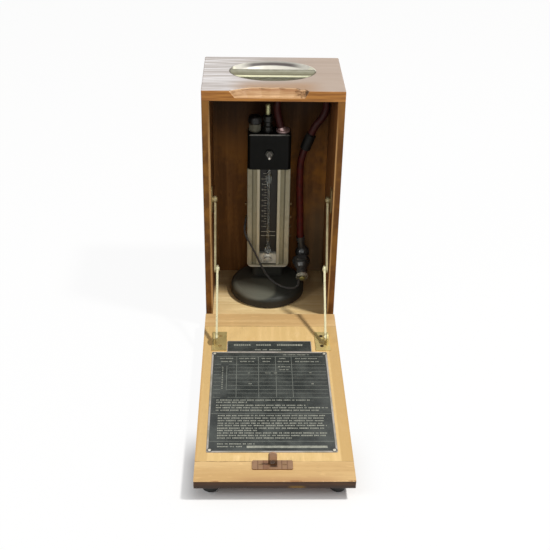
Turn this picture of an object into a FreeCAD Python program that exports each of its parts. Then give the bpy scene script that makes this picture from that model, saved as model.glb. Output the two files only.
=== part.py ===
import FreeCAD, Part
import math
import os

# A table manometer in its upright oak carrying case, with the drop front lying open.
# Millimetres, X to the right, Y to the back, Z up from the surface that it stands on.
# Every piece is drawn in the case frame: Y = 0 is the front edge of the case sides.
# The last lines move all pieces so that the origin is under the middle of the whole object.

Vector = FreeCAD.Vector
X_AXIS = Vector(1, 0, 0)
Y_AXIS = Vector(0, 1, 0)
Z_AXIS = Vector(0, 0, 1)

# Case boards
case_width = 200.0
case_depth = 144.0
side_height = 355.0
side_thickness = 10.5
top_thickness = 15.0
bottom_thickness = 12.0
back_thickness = 6.0
board_edge_radius = 1.5
case_foot_height = 8.0
case_foot_radius = 10.0
case_foot_inset = 18.0
foot_screw_recess_radius = 4.0
foot_screw_recess_depth = 3.0

# Drop front
door_thickness = 12.0
closing_gap = 0.5
hinge_batten_width = 34.0
free_batten_width = 36.0
tongue_length = 8.0
tongue_thickness = 4.0
tongue_end_gap = 0.3
door_foot_radius = 11.0
door_foot_spread = 80.0
door_foot_inset = 23.5

# Butt hinges
hinge_spread = 60.0
hinge_leaf_length = 40.0
hinge_leaf_thickness = 1.2
hinge_case_leaf_height = 10.0
hinge_door_leaf_reach = 18.0
hinge_knuckle_radius = 2.6
hinge_middle_knuckle = 15.4
hinge_pin_radius = 1.2
hinge_end_gap = 0.3
hinge_relief = 0.4
hinge_screw_spread = 14.0

# Clearances
running_clearance = 0.05
side_play = 0.4
wood_clearance = 0.1

# Screws
screw_shank_radius = 1.5
screw_head_radius = 3.0
screw_length = 7.0
screw_slot_width = 0.8
screw_slot_depth = 0.6
plate_screw_head_radius = 2.2
plate_screw_shank_radius = 1.0
plate_screw_length = 5.0

# Recessed carrying handle in the top
handle_back = 83.0
dish_half_length = 63.0
dish_half_width = 43.0
dish_depth = 12.5
dish_wall = 1.0
dish_floor_half_length = 44.0
bar_back = 85.5
bar_width = 24.0
bar_thickness = 6.0
bar_crown = 3.5

# The place at the front of the top where the lock was torn out
tear_floor_height = 4.2
tear_top_outline = [
    (-64, -2), (-61, 3), (-53, 8), (-42, 13), (-33, 16.5), (-18, 17.5), (-4, 16), (10, 17),
    (24, 15.5), (32, 14.5), (37, 8), (44, 8.5), (51, -2),
]
tear_floor_outline = [
    (-56, -2), (-53, 1), (-45, 2.5), (-35, 4.5), (-25, 3.5), (-16, 5.5), (-5, 4), (8, 5.5),
    (19, 4), (28, 4.5), (35, 2.5), (41, 2), (46, -2),
]

# Plates on the inside of the drop front
plates_centre = -2.5
plate_thickness = 1.0
plate_corner_radius = 2.0
title_start = 74.0
title_side_gap = 1.2
title_length = 27.0
instruction_gap = 0.5
instruction_width = 167.5
instruction_length = 216.0
plate_screw_inset = 4.0

# Lock link plate on the free batten
link_plate_end_inset = 20.5
link_plate_length = 51.0
link_plate_width = 16.0
link_plate_thickness = 1.5
link_screw_spread = 15.0
link_tongue_width = 11.0
link_tongue_height = 22.0
link_tongue_thickness = 2.0
link_eye_radius = 3.0
link_eye_height = 6.5

# Folding stays
stay_thickness = 3.0
stay_wall_gap = 5.8
stay_arm_spare = 1.463
stay_width = 6.0
stay_leaf_width = 9.0
stay_leaf_length = 30.0
stay_eye_radius = 5.5
stay_rivet_radius = 2.0
rivet_head_radius = 3.8
rivet_head_height = 1.5
rivet_head_gap = 0.2
stay_wall_pivot_back = 26.0
stay_wall_pivot_height = 190.5
bracket_pivot_out = 79.5
bracket_pivot_height = 12.0
bracket_width = 21.5
bracket_length = 47.0
bracket_ahead = 19.0
bracket_thickness = 1.5
bracket_outer_lip = 3.0
bracket_ear_thickness = 2.0
bracket_ear_half_width = 7.0
bracket_screw_ahead = 8.0
bracket_screw_behind = 17.0
bracket_screw_in = 9.0
wall_plate_width = 16.0
wall_plate_height = 38.0
wall_plate_thickness = 1.5
wall_plate_screw_spread = 13.0
wall_collar_radius = 4.2
wall_collar_gap = 0.3

# Instrument base
instrument_x = -3.0
base_back_gap = 1.0
base_radius = 59.0
base_pad_height = 1.0
base_pad_radius = 8.0
base_pad_circle = 44.0
base_rim_height = 11.0
base_height = 18.0
base_shoulder = 9.0
base_crown_height = 2.5
base_crown_radius = 26.0
boss_width = 50.0
boss_depth = 22.0
boss_radius = 6.0

# Column
column_front_behind = 7.0
column_width = 67.0
column_depth = 26.0
column_foot_height = 38.0
column_height = 176.0
column_corner_radius = 8.0
column_rim_width = 7.5
column_rib_width = 4.0
column_rib_set_back = 2.0
column_channel_depth = 5.0
column_rim_height = 5.0
column_edge_radius = 1.5
scale_width = 27.0
scale_pocket_depth = 13.0
window_rail_height = 2.0
window_rail_thickness = 1.2
scale_thickness = 2.0
scale_start = 23.0
scale_end_gap = 4.0
well_cover_height = 18.0
well_cover_thickness = 3.0
well_dome_radius = 8.0
well_dome_height = 3.0
side_screw_heights = [51.5, 69.0, 86.0, 109.0]
side_screw_radius = 2.2
side_screw_stand_off = 3.2
side_screw_depth = 4.0

# Glass tube in front of the scale
tube_radius = 2.0
tube_from_scale = 5.5
drop_height = 22.0
drop_radius = 4.8
drop_foot_radius = 2.4
bulb_radius = 4.8
bulb_height = 28.0
tube_neck_height = 5.0

# Head and its fittings
head_width = 66.0
head_depth = 34.0
head_height = 57.0
head_overhang = 4.0
head_edge_radius = 6.0
head_top_chamfer = 2.0
collar_height_on_head = 27.0
front_collar_radius = 6.0
front_collar_thickness = 4.0
front_stem_radius = 2.4
front_stem_length = 16.0
gland_x = -22.0
gland_radius = 9.0
gland_height = 13.5
gland_flutes = 24
gland_flute_depth = 0.5
top_row_behind = 19.0
knob_radius = 10.2
knob_height = 11.0
knob_lift = 0.3
knob_dot_radius = 1.2
knob_stem_radius = 3.0
knob_stem_depth = 9.0
valve_x = -2.5
valve_radius = 7.6
valve_height = 27.0
valve_waist_radius = 6.0
spindle_radius = 3.4
spindle_height = 16.0
nipple_x = 17.4
nipple_flange_radius = 10.5
nipple_flange_height = 3.0
nipple_neck_radius = 7.0

# Hose, its joiner and the coupling at its end
hose_radius = 5.5
joiner_radius = 8.0
# Route points have X from the middle of the case or its right side, Y from the base's middle.
upper_hose_start = [
    (14.5, 19, 297), (9, 20.8, 315.5), (7, 24, 332.5), (13.2, 28, 348.5),
    (26, 31, 360), (43, 33, 364.8),
]
upper_hose_loop_from_side = [
    (-29.5, 33.3, 362), (-15.5, 32.3, 353.2), (-7.3, 30.8, 339.3), (-6.1, 29.4, 323.3),
    (-12.1, 28, 308.5),
]
upper_hose_end = [(65.9, 27, 296.5), (60.95, 27, 282.9)]
lower_hose_points = [
    (51.95, 27, 258.1), (46.9, 27, 244.2), (45.6, 27.4, 222), (46.5, 28, 184),
    (48.5, 27.6, 144), (49, 27, 117), (50.5, 27, 98),
]
elbow_ball_place = (54, 29, 75)
elbow_ball_radius = 11.5
coupling_end_place = (52.5, -15, 51)
coupling_start_place = (51.6, 17, 69)
coupling_nut_radius = 14.5
coupling_nut_length = 9.0
coupling_neck_radius = 11.0
coupling_body_radius = 8.4
coupling_ring_radius = 9.7
coupling_ring_length = 6.0
coupling_ring_notches = 14
coupling_notch_radius = 0.8
coupling_tip_radius = 4.6
coupling_tip_stand_out = 1.5
coupling_tip_bevel = 1.0
elbow_neck_radius = 7.0
clip_thickness = 1.3
clip_length = 7.0

# Cord tied to the column and to the coupling
cord_radius = 1.7
cord_points = [
    (-38.4, 20, 141.2), (-39.4, 17.5, 133), (-41, 10.5, 126), (-38.5, 3.5, 118), (-33, 1, 108),
    (-26.5, 0.5, 95), (-20, 0, 80.5), (-12.5, -2, 64), (-4, -7, 50.5), (6, -15.5, 44.6),
    (16, -24, 42.8), (26, -30, 41.9), (35.5, -31, 41.2), (43, -27.5, 41.1),
    (47.41, -20.51, 43.19), (47.2, -13.1, 47.36),
]

# Heights and places that follow from the sizes above
floor_z = case_foot_height + bottom_thickness
top_board_z = floor_z + side_height
case_top_z = top_board_z + top_thickness
inner_half_width = case_width / 2 - side_thickness
hinge_y = -(door_thickness + closing_gap)
hinge_z = floor_z
door_start = hinge_y - closing_gap
door_length = case_top_z - hinge_z - closing_gap
link_plate_start = door_length - link_plate_end_inset - link_plate_width
door_end = door_start - door_length
door_face_z = hinge_z + door_thickness
whole_depth = case_depth - door_end
front_y = whole_depth / 2 - case_depth
stay_upper_plane = inner_half_width - stay_wall_gap
stay_lower_plane = stay_upper_plane - stay_thickness - side_play
ear_inner = stay_lower_plane + stay_thickness / 2 + side_play
bracket_outer_edge = ear_inner + bracket_ear_thickness + bracket_outer_lip
title_width = 2 * (bracket_outer_edge - bracket_width - abs(plates_centre) - title_side_gap)
base_back = case_depth - back_thickness - base_back_gap - base_radius
base_z = floor_z + base_pad_height
base_top_z = base_z + base_height
column_z = floor_z + column_foot_height
column_top_z = column_z + column_height
head_z = column_top_z
head_top_z = head_z + head_height
column_front = base_back + column_front_behind
top_row_back = base_back + top_row_behind
head_front = column_front - head_overhang
scale_face_y = column_front + scale_pocket_depth - scale_thickness
tube_y = scale_face_y - tube_from_scale


def from_base(points, from_x=0):
    """Places in the case frame, from places measured from the middle of the base."""
    return [(from_x + x, base_back + y, z) for x, y, z in points]


upper_hose_route = (from_base(upper_hose_start)
                    + from_base(upper_hose_loop_from_side, inner_half_width)
                    + from_base(upper_hose_end))
lower_hose_route = from_base(lower_hose_points)
cord_route = from_base(cord_points)
elbow_ball, coupling_end, coupling_start = from_base(
    [elbow_ball_place, coupling_end_place, coupling_start_place])


def block(x0, x1, y0, y1, z0, z1):
    return Part.makeBox(x1 - x0, y1 - y0, z1 - z0, Vector(x0, y0, z0))


def rod(start, direction, radius, length):
    return Part.makeCylinder(radius, length, Vector(*start), Vector(*direction))


def outline(start, *steps):
    """A closed face in the XZ plane; a step is (end,) for a line or (middle, end) for an arc."""
    edges = []
    here = Vector(start[0], 0, start[1])
    first = here
    for step in steps:
        points = [Vector(p[0], 0, p[1]) for p in step]
        if len(points) == 1:
            edges.append(Part.LineSegment(here, points[0]).toShape())
        else:
            edges.append(Part.Arc(here, points[0], points[1]).toShape())
        here = points[-1]
    if here.distanceToPoint(first) > 1e-6:
        edges.append(Part.LineSegment(here, first).toShape())
    return Part.Face(Part.Wire(edges))


def turned(face, at=(0, 0, 0)):
    """The solid that a face in the XZ plane makes when it turns about Z."""
    solid = face.revolve(Vector(0, 0, 0), Z_AXIS, 360)
    solid.translate(Vector(*at))
    return solid


def along(solid, start, direction):
    """A solid made along Z from the origin, laid along a direction from a start point."""
    turn = FreeCAD.Rotation(Z_AXIS, Vector(*direction))
    solid = solid.copy()
    solid.Placement = FreeCAD.Placement(Vector(*start), turn)
    return solid


def eased(solid, radius, choose):
    """Rounds the edges that choose() picks."""
    edges = [edge for edge in solid.Edges if choose(edge)]
    return solid.makeFillet(radius, edges) if edges else solid


def runs_along(edge, axis):
    if len(edge.Vertexes) < 2:
        return False
    span = edge.Vertexes[-1].Point.sub(edge.Vertexes[0].Point)
    return span.Length > 1e-6 and span.cross(axis).Length < 1e-6 * span.Length


def mirrored(solid):
    return solid.mirror(Vector(0, 0, 0), X_AXIS)


def group(solids):
    return Part.makeCompound(solids)


def countersunk(at, inward, head_radius=screw_head_radius, shank_radius=screw_shank_radius,
                length=screw_length):
    """A slotted countersunk screw whose flat head lies at a point and whose shank runs inward."""
    head_height = head_radius - shank_radius
    profile = outline(
        (0, 0), ((head_radius, 0),), ((shank_radius, head_height),),
        ((shank_radius, length - shank_radius),), ((0, length),),
    )
    screw = turned(profile)
    slot = block(-head_radius, head_radius, -screw_slot_width / 2, screw_slot_width / 2,
                 -1, screw_slot_depth)
    return along(screw.cut(slot), at, inward)


def screw_seat(at, inward, head_radius=screw_head_radius, shank_radius=screw_shank_radius,
               length=screw_length):
    """The countersunk hole that such a screw fills."""
    profile = outline(
        (0, -1), ((head_radius, -1),), ((head_radius, 0),),
        ((shank_radius, head_radius - shank_radius),), ((shank_radius, length - shank_radius),),
        ((0, length),),
    )
    return along(turned(profile), at, inward)


def plate_screw(at, inward):
    return countersunk(at, inward, plate_screw_head_radius, plate_screw_shank_radius,
                       plate_screw_length)


def plate_screw_seat(at, inward):
    return screw_seat(at, inward, plate_screw_head_radius, plate_screw_shank_radius,
                      plate_screw_length)


def cut_all(solid, cutters):
    for cutter in cutters:
        solid = solid.cut(cutter)
    return solid


def tube_along(points, radius):
    """A plain round tube along straight runs joined by tangent arcs, with its smallest radius."""
    path = [Vector(*p) for p in points]
    edges = []
    here = path[0]
    radii = []
    for before, corner, after in zip(path, path[1:], path[2:]):
        into = corner.sub(before)
        out = after.sub(corner)
        turn = into.getAngle(out)
        reach = 0.45 * min(into.Length, out.Length)
        radii.append(reach / math.tan(turn / 2))
        into.normalize()
        out.normalize()
        arc_start = corner.sub(Vector(into).multiply(reach))
        arc_end = corner.add(Vector(out).multiply(reach))
        bisector = Vector(out).sub(into)
        bisector.normalize()
        depth = radii[-1] / math.cos(turn / 2) - radii[-1]
        middle = corner.add(bisector.multiply(depth))
        edges.append(Part.LineSegment(here, arc_start).toShape())
        edges.append(Part.Arc(arc_start, middle, arc_end).toShape())
        here = arc_end
    edges.append(Part.LineSegment(here, path[-1]).toShape())
    spine = Part.Wire(edges)
    start_direction = path[1].sub(path[0])
    ring = Part.Wire(Part.makeCircle(radius, path[0], start_direction))
    tube = Part.Wire(spine).makePipeShell([ring], True, True)
    return tube, spine.Length, min(radii)


# Case boards and feet

def hinge_places():
    return (-hinge_spread, hinge_spread)


def hinge_reliefs():
    """The round grooves that the hinge knuckles turn in."""
    radius = hinge_knuckle_radius + hinge_relief
    length = hinge_leaf_length + 2 * hinge_end_gap
    return [
        rod((x - length / 2, hinge_y, hinge_z), (1, 0, 0), radius, length)
        for x in hinge_places()
    ]


def case_leaf_screw_places():
    z = hinge_z - hinge_case_leaf_height / 2 - 1
    return [(x + s * hinge_screw_spread, hinge_y, z) for x in hinge_places() for s in (-1, 1)]


def door_leaf_screw_places():
    y = hinge_y - hinge_door_leaf_reach + screw_head_radius + 1.5
    return [(x + s * hinge_screw_spread, y, hinge_z) for x in hinge_places() for s in (-1, 0, 1)]


def dish_solid(grow):
    """The dish's outer form, grown sideways and downwards by a distance."""
    half = dish_half_length + grow
    floor = -(dish_depth + dish_wall) - grow
    lip = outline(
        (0, floor), ((dish_floor_half_length + grow, floor),),
        ((half - 7, floor * 0.62), (half, 0)), ((half, 1),), ((0, 1),),
    )
    solid = turned(lip)
    squeeze = FreeCAD.Matrix()
    squeeze.A22 = (dish_half_width + grow) / half
    solid = solid.transformGeometry(squeeze)
    solid.translate(Vector(0, handle_back, case_top_z))
    return solid


def tear_cutter():
    def ring(points, z):
        corners = [Vector(x, y, z) for x, y in points]
        return Part.makePolygon(corners + corners[:1])
    low = ring(tear_floor_outline, top_board_z + tear_floor_height)
    high = ring(tear_top_outline, case_top_z + 0.5)
    return Part.makeLoft([low, high], True, True)


def case_top():
    half = case_width / 2
    board = block(-half, half, 0, case_depth, top_board_z, case_top_z)
    board = eased(board, board_edge_radius, lambda e: runs_along(e, Z_AXIS) or (
        abs(e.CenterOfMass.z - case_top_z) < 0.01))
    board = board.cut(dish_solid(0))
    return board.cut(tear_cutter())


def handle_dish():
    shell = dish_solid(0).cut(dish_solid(-dish_wall))
    above = block(-case_width, case_width, -case_depth, 2 * case_depth,
                  case_top_z, case_top_z + 10)
    return shell.cut(above)


def handle_bar():
    """A bar with a rounded upper side that spans the dish and stands level with the board."""
    reach = dish_half_length + 5
    half = bar_width / 2
    low = -bar_thickness
    side = -bar_crown
    corners = [Vector(-reach, -half, side), Vector(-reach, -half, low),
               Vector(-reach, half, low), Vector(-reach, half, side)]
    edges = [Part.LineSegment(corners[i], corners[i + 1]).toShape() for i in range(3)]
    edges.append(Part.Arc(corners[3], Vector(-reach, 0, 0), corners[0]).toShape())
    bar = Part.Face(Part.Wire(edges)).extrude(Vector(2 * reach, 0, 0))
    bar.translate(Vector(0, bar_back, case_top_z))
    return bar.common(dish_solid(-dish_wall))


def case_bottom():
    half = case_width / 2
    board = block(-half, half, hinge_y, case_depth, case_foot_height, floor_z)
    board = eased(board, board_edge_radius, lambda e: runs_along(e, Z_AXIS))
    board = cut_all(board, hinge_reliefs())
    for x in hinge_places():
        recess = block(x - hinge_leaf_length / 2 - wood_clearance,
                       x + hinge_leaf_length / 2 + wood_clearance,
                       hinge_y - 1, hinge_y + hinge_leaf_thickness,
                       hinge_z - hinge_case_leaf_height - wood_clearance, hinge_z + 1)
        board = board.cut(recess)
    return cut_all(board, [screw_seat(p, (0, 1, 0)) for p in case_leaf_screw_places()])


def stay_wall_screw_places():
    z = floor_z + stay_wall_pivot_height
    y = stay_wall_pivot_back
    x = inner_half_width - wall_plate_thickness
    return [(x, y, z + s * wall_plate_screw_spread) for s in (-1, 1)]


def case_right_side():
    board = block(inner_half_width, case_width / 2, 0, case_depth, floor_z, top_board_z)
    board = eased(board, board_edge_radius, lambda e: runs_along(e, Z_AXIS) and (
        e.CenterOfMass.x > case_width / 2 - 0.01))
    return cut_all(board, [screw_seat(p, (1, 0, 0)) for p in stay_wall_screw_places()])


def case_back():
    return block(-inner_half_width, inner_half_width, case_depth - back_thickness, case_depth,
                 floor_z, top_board_z)


def case_feet():
    profile = outline(
        (foot_screw_recess_radius, 0), ((case_foot_radius - 1.5, 0),),
        ((case_foot_radius - 0.4, 0.5), (case_foot_radius, 1.6)),
        ((case_foot_radius - 1, case_foot_height),), ((0, case_foot_height),),
        ((0, foot_screw_recess_depth),), ((foot_screw_recess_radius, foot_screw_recess_depth),),
    )
    x = case_width / 2 - case_foot_inset
    near = case_foot_inset - door_thickness
    far = case_depth - case_foot_inset
    return group([turned(profile, (sx * x, y, 0)) for sx in (-1, 1) for y in (near, far)])


# Drop front

def door_leaf_recesses():
    return [
        block(x - hinge_leaf_length / 2 - wood_clearance,
              x + hinge_leaf_length / 2 + wood_clearance,
              hinge_y - hinge_door_leaf_reach - wood_clearance, hinge_y + 1,
              hinge_z - 1, hinge_z + hinge_leaf_thickness)
        for x in hinge_places()
    ]


def batten_joint_y():
    return door_start - hinge_batten_width, door_end + free_batten_width


def tongue_heights():
    middle = hinge_z + door_thickness / 2
    return middle - tongue_thickness / 2, middle + tongue_thickness / 2


def door_hinge_batten():
    half = case_width / 2
    joint = batten_joint_y()[0]
    low, high = tongue_heights()
    batten = block(-half, half, joint, door_start, hinge_z, door_face_z)
    groove = block(-half - 1, half + 1, joint - 1, joint + tongue_length + tongue_end_gap,
                   low, high)
    batten = batten.cut(groove)
    batten = cut_all(batten, hinge_reliefs() + door_leaf_recesses())
    return cut_all(batten, [screw_seat(p, (0, 0, 1)) for p in door_leaf_screw_places()])


def door_panel():
    half = case_width / 2
    back, front = batten_joint_y()
    low, high = tongue_heights()
    panel = block(-half, half, front, back, hinge_z, door_face_z)
    tongues = block(-half, half, front - tongue_length, back + tongue_length, low, high)
    panel = panel.fuse(tongues).removeSplitter()
    seats = [plate_screw_seat(p, (0, 0, -1)) for p in plate_screw_places()]
    seats += [screw_seat(p, (0, 0, -1)) for s in (-1, 1) for p in bracket_screw_places(s)]
    seats += [screw_seat(p, (0, 0, -1)) for p in link_screw_places()]
    return cut_all(panel, seats)


def door_free_batten():
    half = case_width / 2
    joint = batten_joint_y()[1]
    low, high = tongue_heights()
    batten = block(-half, half, door_end, joint, hinge_z, door_face_z)
    batten = eased(batten, board_edge_radius, lambda e: e.CenterOfMass.y < door_end + 0.01)
    groove = block(-half - 1, half + 1, joint - tongue_length - tongue_end_gap, joint + 1,
                   low, high)
    batten = batten.cut(groove)
    return cut_all(batten, [screw_seat(p, (0, 0, -1)) for p in link_screw_places()])


def door_feet():
    """Two turned feet on the outer face that hold the open front level with the case floor."""
    radius = door_foot_radius
    profile = outline(
        (0, 0), ((radius - 4, 0),), ((radius - 1.2, 1.2), (radius, 4)),
        ((radius, hinge_z - 6),), ((radius - 2.5, hinge_z),), ((0, hinge_z),),
    )
    y = door_end + door_foot_inset
    return group([turned(profile, (s * door_foot_spread, y, 0)) for s in (-1, 1)])


# Hinges

def knuckle(x0, x1):
    return rod((x0, hinge_y, hinge_z), (1, 0, 0), hinge_knuckle_radius, x1 - x0)


def pin_hole(x, clearance):
    length = hinge_leaf_length + 2
    return rod((x - length / 2, hinge_y, hinge_z), (1, 0, 0), hinge_pin_radius + clearance,
               length)


def hinge_case_leaves():
    leaves = []
    inner = hinge_middle_knuckle / 2 + hinge_end_gap
    outer = hinge_leaf_length / 2
    for x in hinge_places():
        leaf = block(x - outer, x + outer, hinge_y, hinge_y + hinge_leaf_thickness,
                     hinge_z - hinge_case_leaf_height, hinge_z)
        leaf = leaf.fuse([knuckle(x - outer, x - inner), knuckle(x + inner, x + outer)])
        room = rod((x - inner, hinge_y, hinge_z), (1, 0, 0),
                   hinge_knuckle_radius + hinge_relief, 2 * inner)
        leaf = cut_all(leaf, [room, pin_hole(x, 0)])
        seats = [screw_seat(p, (0, 1, 0)) for p in case_leaf_screw_places()]
        leaves.append(cut_all(leaf, seats).removeSplitter())
    return group(leaves)


def hinge_door_leaves():
    leaves = []
    inner = hinge_middle_knuckle / 2
    outer = hinge_leaf_length / 2
    for x in hinge_places():
        leaf = block(x - outer, x + outer, hinge_y - hinge_door_leaf_reach, hinge_y,
                     hinge_z, hinge_z + hinge_leaf_thickness)
        rooms = [
            rod((x0, hinge_y, hinge_z), (1, 0, 0), hinge_knuckle_radius + hinge_relief,
                outer - inner + 1)
            for x0 in (x - outer - 1, x + inner)
        ]
        leaf = cut_all(leaf, rooms).fuse(knuckle(x - inner, x + inner))
        leaf = leaf.cut(pin_hole(x, running_clearance))
        seats = [screw_seat(p, (0, 0, 1)) for p in door_leaf_screw_places()]
        leaves.append(cut_all(leaf, seats).removeSplitter())
    return group(leaves)


def hinge_pins():
    return group([
        rod((x - hinge_leaf_length / 2, hinge_y, hinge_z), (1, 0, 0), hinge_pin_radius,
            hinge_leaf_length)
        for x in hinge_places()
    ])


# Plates and lock link on the drop front

def rounded_plate(x_middle, width, y_far, y_near, thickness):
    plate = block(x_middle - width / 2, x_middle + width / 2, y_far, y_near,
                  door_face_z, door_face_z + thickness)
    return eased(plate, plate_corner_radius, lambda e: runs_along(e, Z_AXIS))


def title_span():
    near = door_start - title_start
    return near - title_length, near


def instruction_span():
    near = title_span()[0] - instruction_gap
    return near - instruction_length, near


def plate_screw_places():
    far, near = instruction_span()
    reach = instruction_width / 2 - plate_screw_inset
    z = door_face_z + plate_thickness
    return [
        (plates_centre + s * reach, y, z)
        for s in (-1, 1) for y in (far + plate_screw_inset, near - plate_screw_inset)
    ]


def title_plate():
    far, near = title_span()
    return rounded_plate(plates_centre, title_width, far, near, plate_thickness)


def instruction_plate():
    far, near = instruction_span()
    plate = rounded_plate(plates_centre, instruction_width, far, near, plate_thickness)
    return cut_all(plate, [plate_screw_seat(p, (0, 0, -1)) for p in plate_screw_places()])


def link_plate_span():
    near = door_start - link_plate_start
    return near - link_plate_width, near


def link_screw_places():
    y = sum(link_plate_span()) / 2
    z = door_face_z + link_plate_thickness
    return [(plates_centre + s * link_screw_spread, y, z) for s in (-1, 1)]


def lock_link_plate():
    """The plate and its upright tongue, which the lost lock bolt once shot through."""
    far, near = link_plate_span()
    plate = block(plates_centre - link_plate_length / 2, plates_centre + link_plate_length / 2,
                  far, near, door_face_z, door_face_z + link_plate_thickness)
    plate = eased(plate, plate_corner_radius, lambda e: runs_along(e, Z_AXIS))
    half = link_tongue_width / 2
    y = (far + near) / 2 - link_tongue_thickness / 2
    top = link_tongue_height - half
    shape = outline((-half, 0), ((half, 0),), ((half, top),), ((0, top + half), (-half, top)))
    tongue = shape.extrude(Vector(0, link_tongue_thickness, 0))
    tongue.translate(Vector(plates_centre, y, door_face_z))
    eye = rod((plates_centre, y - 1, door_face_z + link_eye_height), (0, 1, 0),
              link_eye_radius, link_tongue_thickness + 2)
    plate = plate.fuse(tongue).cut(eye)
    plate = cut_all(plate, [screw_seat(p, (0, 0, -1)) for p in link_screw_places()])
    return plate.removeSplitter()


# Folding stays, drawn on the right; the left ones are mirrored

def wall_pivot():
    return Vector(0, stay_wall_pivot_back, floor_z + stay_wall_pivot_height)


def bracket_pivot():
    return Vector(0, hinge_y - bracket_pivot_out, door_face_z + bracket_pivot_height)


def knee():
    """Where the two arms meet: below the straight line between their outer pivots."""
    low = bracket_pivot()
    high = wall_pivot()
    span = high.sub(low)
    half = span.Length / 2
    sag = math.sqrt((half + stay_arm_spare) ** 2 - half ** 2)
    across = Vector(0, span.z, -span.y)
    across.normalize()
    return low.add(Vector(span).multiply(0.5)).add(across.multiply(sag))


def stay_arm(outer, knee_end, plane, knee_hole):
    """A flat arm with an eye at each end that swells into a leaf towards the knee."""
    start = Vector(plane - stay_thickness / 2, outer.y, outer.z)
    run = knee_end.sub(outer)
    length = run.Length
    eye_outer = Part.makeCylinder(stay_eye_radius, stay_thickness)
    eye_knee = Part.makeCylinder(stay_eye_radius, stay_thickness, Vector(length, 0, 0))
    leaf_start = length - stay_leaf_length
    corners = [
        (0, -stay_width / 2), (leaf_start, -stay_width / 2), (length - 8, -stay_leaf_width / 2),
        (length, -stay_leaf_width / 2), (length, stay_leaf_width / 2),
        (length - 8, stay_leaf_width / 2), (leaf_start, stay_width / 2), (0, stay_width / 2),
    ]
    points = [Vector(x, y, 0) for x, y in corners]
    bar = Part.Face(Part.makePolygon(points + points[:1])).extrude(
        Vector(0, 0, stay_thickness))
    arm = bar.fuse([eye_outer, eye_knee]).removeSplitter()
    outer_hole = Part.makeCylinder(stay_rivet_radius + running_clearance, stay_thickness + 2,
                                   Vector(0, 0, -1))
    arm = arm.cut(outer_hole)
    if knee_hole:
        arm = arm.cut(Part.makeCylinder(stay_rivet_radius, stay_thickness + 2,
                                        Vector(length, 0, -1)))
    angle = math.degrees(math.atan2(run.z, run.y))
    to_plane = FreeCAD.Matrix(
        0, 0, 1, start.x,
        1, 0, 0, start.y,
        0, 1, 0, start.z,
        0, 0, 0, 1)
    arm.rotate(Vector(0, 0, 0), Z_AXIS, angle)
    return arm.transformShape(to_plane)


def right_stay_upper_arm():
    return stay_arm(wall_pivot(), knee(), stay_upper_plane, False)


def right_stay_lower_arm():
    return stay_arm(bracket_pivot(), knee(), stay_lower_plane, True)


def rivet_head(x, centre):
    """A domed head whose flat side is at x and which rises towards the middle of the case."""
    r = rivet_head_radius
    h = rivet_head_height
    profile = outline(
        (0, 0), ((r, 0),), ((r * 0.84, h * 0.62), (r * 0.35, h)), ((0, h),),
    )
    return along(turned(profile), (x, centre.y, centre.z), (-1, 0, 0))


def right_stay_knee_rivet():
    """The knee rivet, fast in the lower arm; it stops short of the upper arm."""
    centre = knee()
    inner = stay_lower_plane - stay_thickness / 2
    shank = rod((inner, centre.y, centre.z), (1, 0, 0), stay_rivet_radius, stay_thickness)
    return shank.fuse(rivet_head(inner, centre)).removeSplitter()


def bracket_rivet():
    centre = bracket_pivot()
    inner = stay_lower_plane - stay_thickness / 2 - rivet_head_gap
    outer = ear_inner + bracket_ear_thickness
    shank = rod((inner, centre.y, centre.z), (1, 0, 0), stay_rivet_radius, outer - inner)
    return shank.fuse(rivet_head(inner, centre)).removeSplitter()


def bracket_span():
    near = bracket_pivot().y + bracket_length - bracket_ahead
    return near - bracket_length, near


def bracket_screw_places(side):
    far, near = bracket_span()
    x = ear_inner + bracket_ear_thickness - bracket_screw_in
    z = door_face_z + bracket_thickness
    middle = bracket_pivot().y
    return [(side * x, middle - bracket_screw_ahead, z),
            (side * x, middle + bracket_screw_behind, z)]


def right_stay_bracket():
    far, near = bracket_span()
    outer = ear_inner + bracket_ear_thickness
    edge = bracket_outer_edge
    plate = block(edge - bracket_width, edge, far, near, door_face_z,
                  door_face_z + bracket_thickness)
    centre = bracket_pivot()
    half = bracket_ear_half_width
    ear = block(ear_inner, outer, centre.y - half, centre.y + half, door_face_z, centre.z)
    crown = rod((ear_inner, centre.y, centre.z), (1, 0, 0), half, bracket_ear_thickness)
    hole = rod((ear_inner - 1, centre.y, centre.z), (1, 0, 0), stay_rivet_radius,
               bracket_ear_thickness + 2)
    bracket = plate.fuse([ear, crown]).removeSplitter().cut(hole)
    return cut_all(bracket, [screw_seat(p, (0, 0, -1)) for p in bracket_screw_places(1)])


def right_stay_wall_plate():
    """A plate on the case side with the stud that carries the upper arm."""
    centre = wall_pivot()
    face = inner_half_width - wall_plate_thickness
    plate = block(face, inner_half_width, centre.y - wall_plate_width / 2,
                  centre.y + wall_plate_width / 2, centre.z - wall_plate_height / 2,
                  centre.z + wall_plate_height / 2)
    plate = eased(plate, plate_corner_radius, lambda e: runs_along(e, X_AXIS))
    arm_outer = stay_upper_plane + stay_thickness / 2
    arm_inner = arm_outer - stay_thickness
    collar = rod((arm_outer + wall_collar_gap, centre.y, centre.z), (1, 0, 0),
                 wall_collar_radius, face - arm_outer - wall_collar_gap)
    stud = rod((arm_inner - rivet_head_gap, centre.y, centre.z), (1, 0, 0),
               stay_rivet_radius, face - arm_inner + rivet_head_gap)
    plate = plate.fuse([collar, stud, rivet_head(arm_inner - rivet_head_gap, centre)])
    seats = [screw_seat(p, (1, 0, 0)) for p in stay_wall_screw_places()]
    return cut_all(plate.removeSplitter(), seats)


# Instrument: base, column, scale and tube

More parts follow.
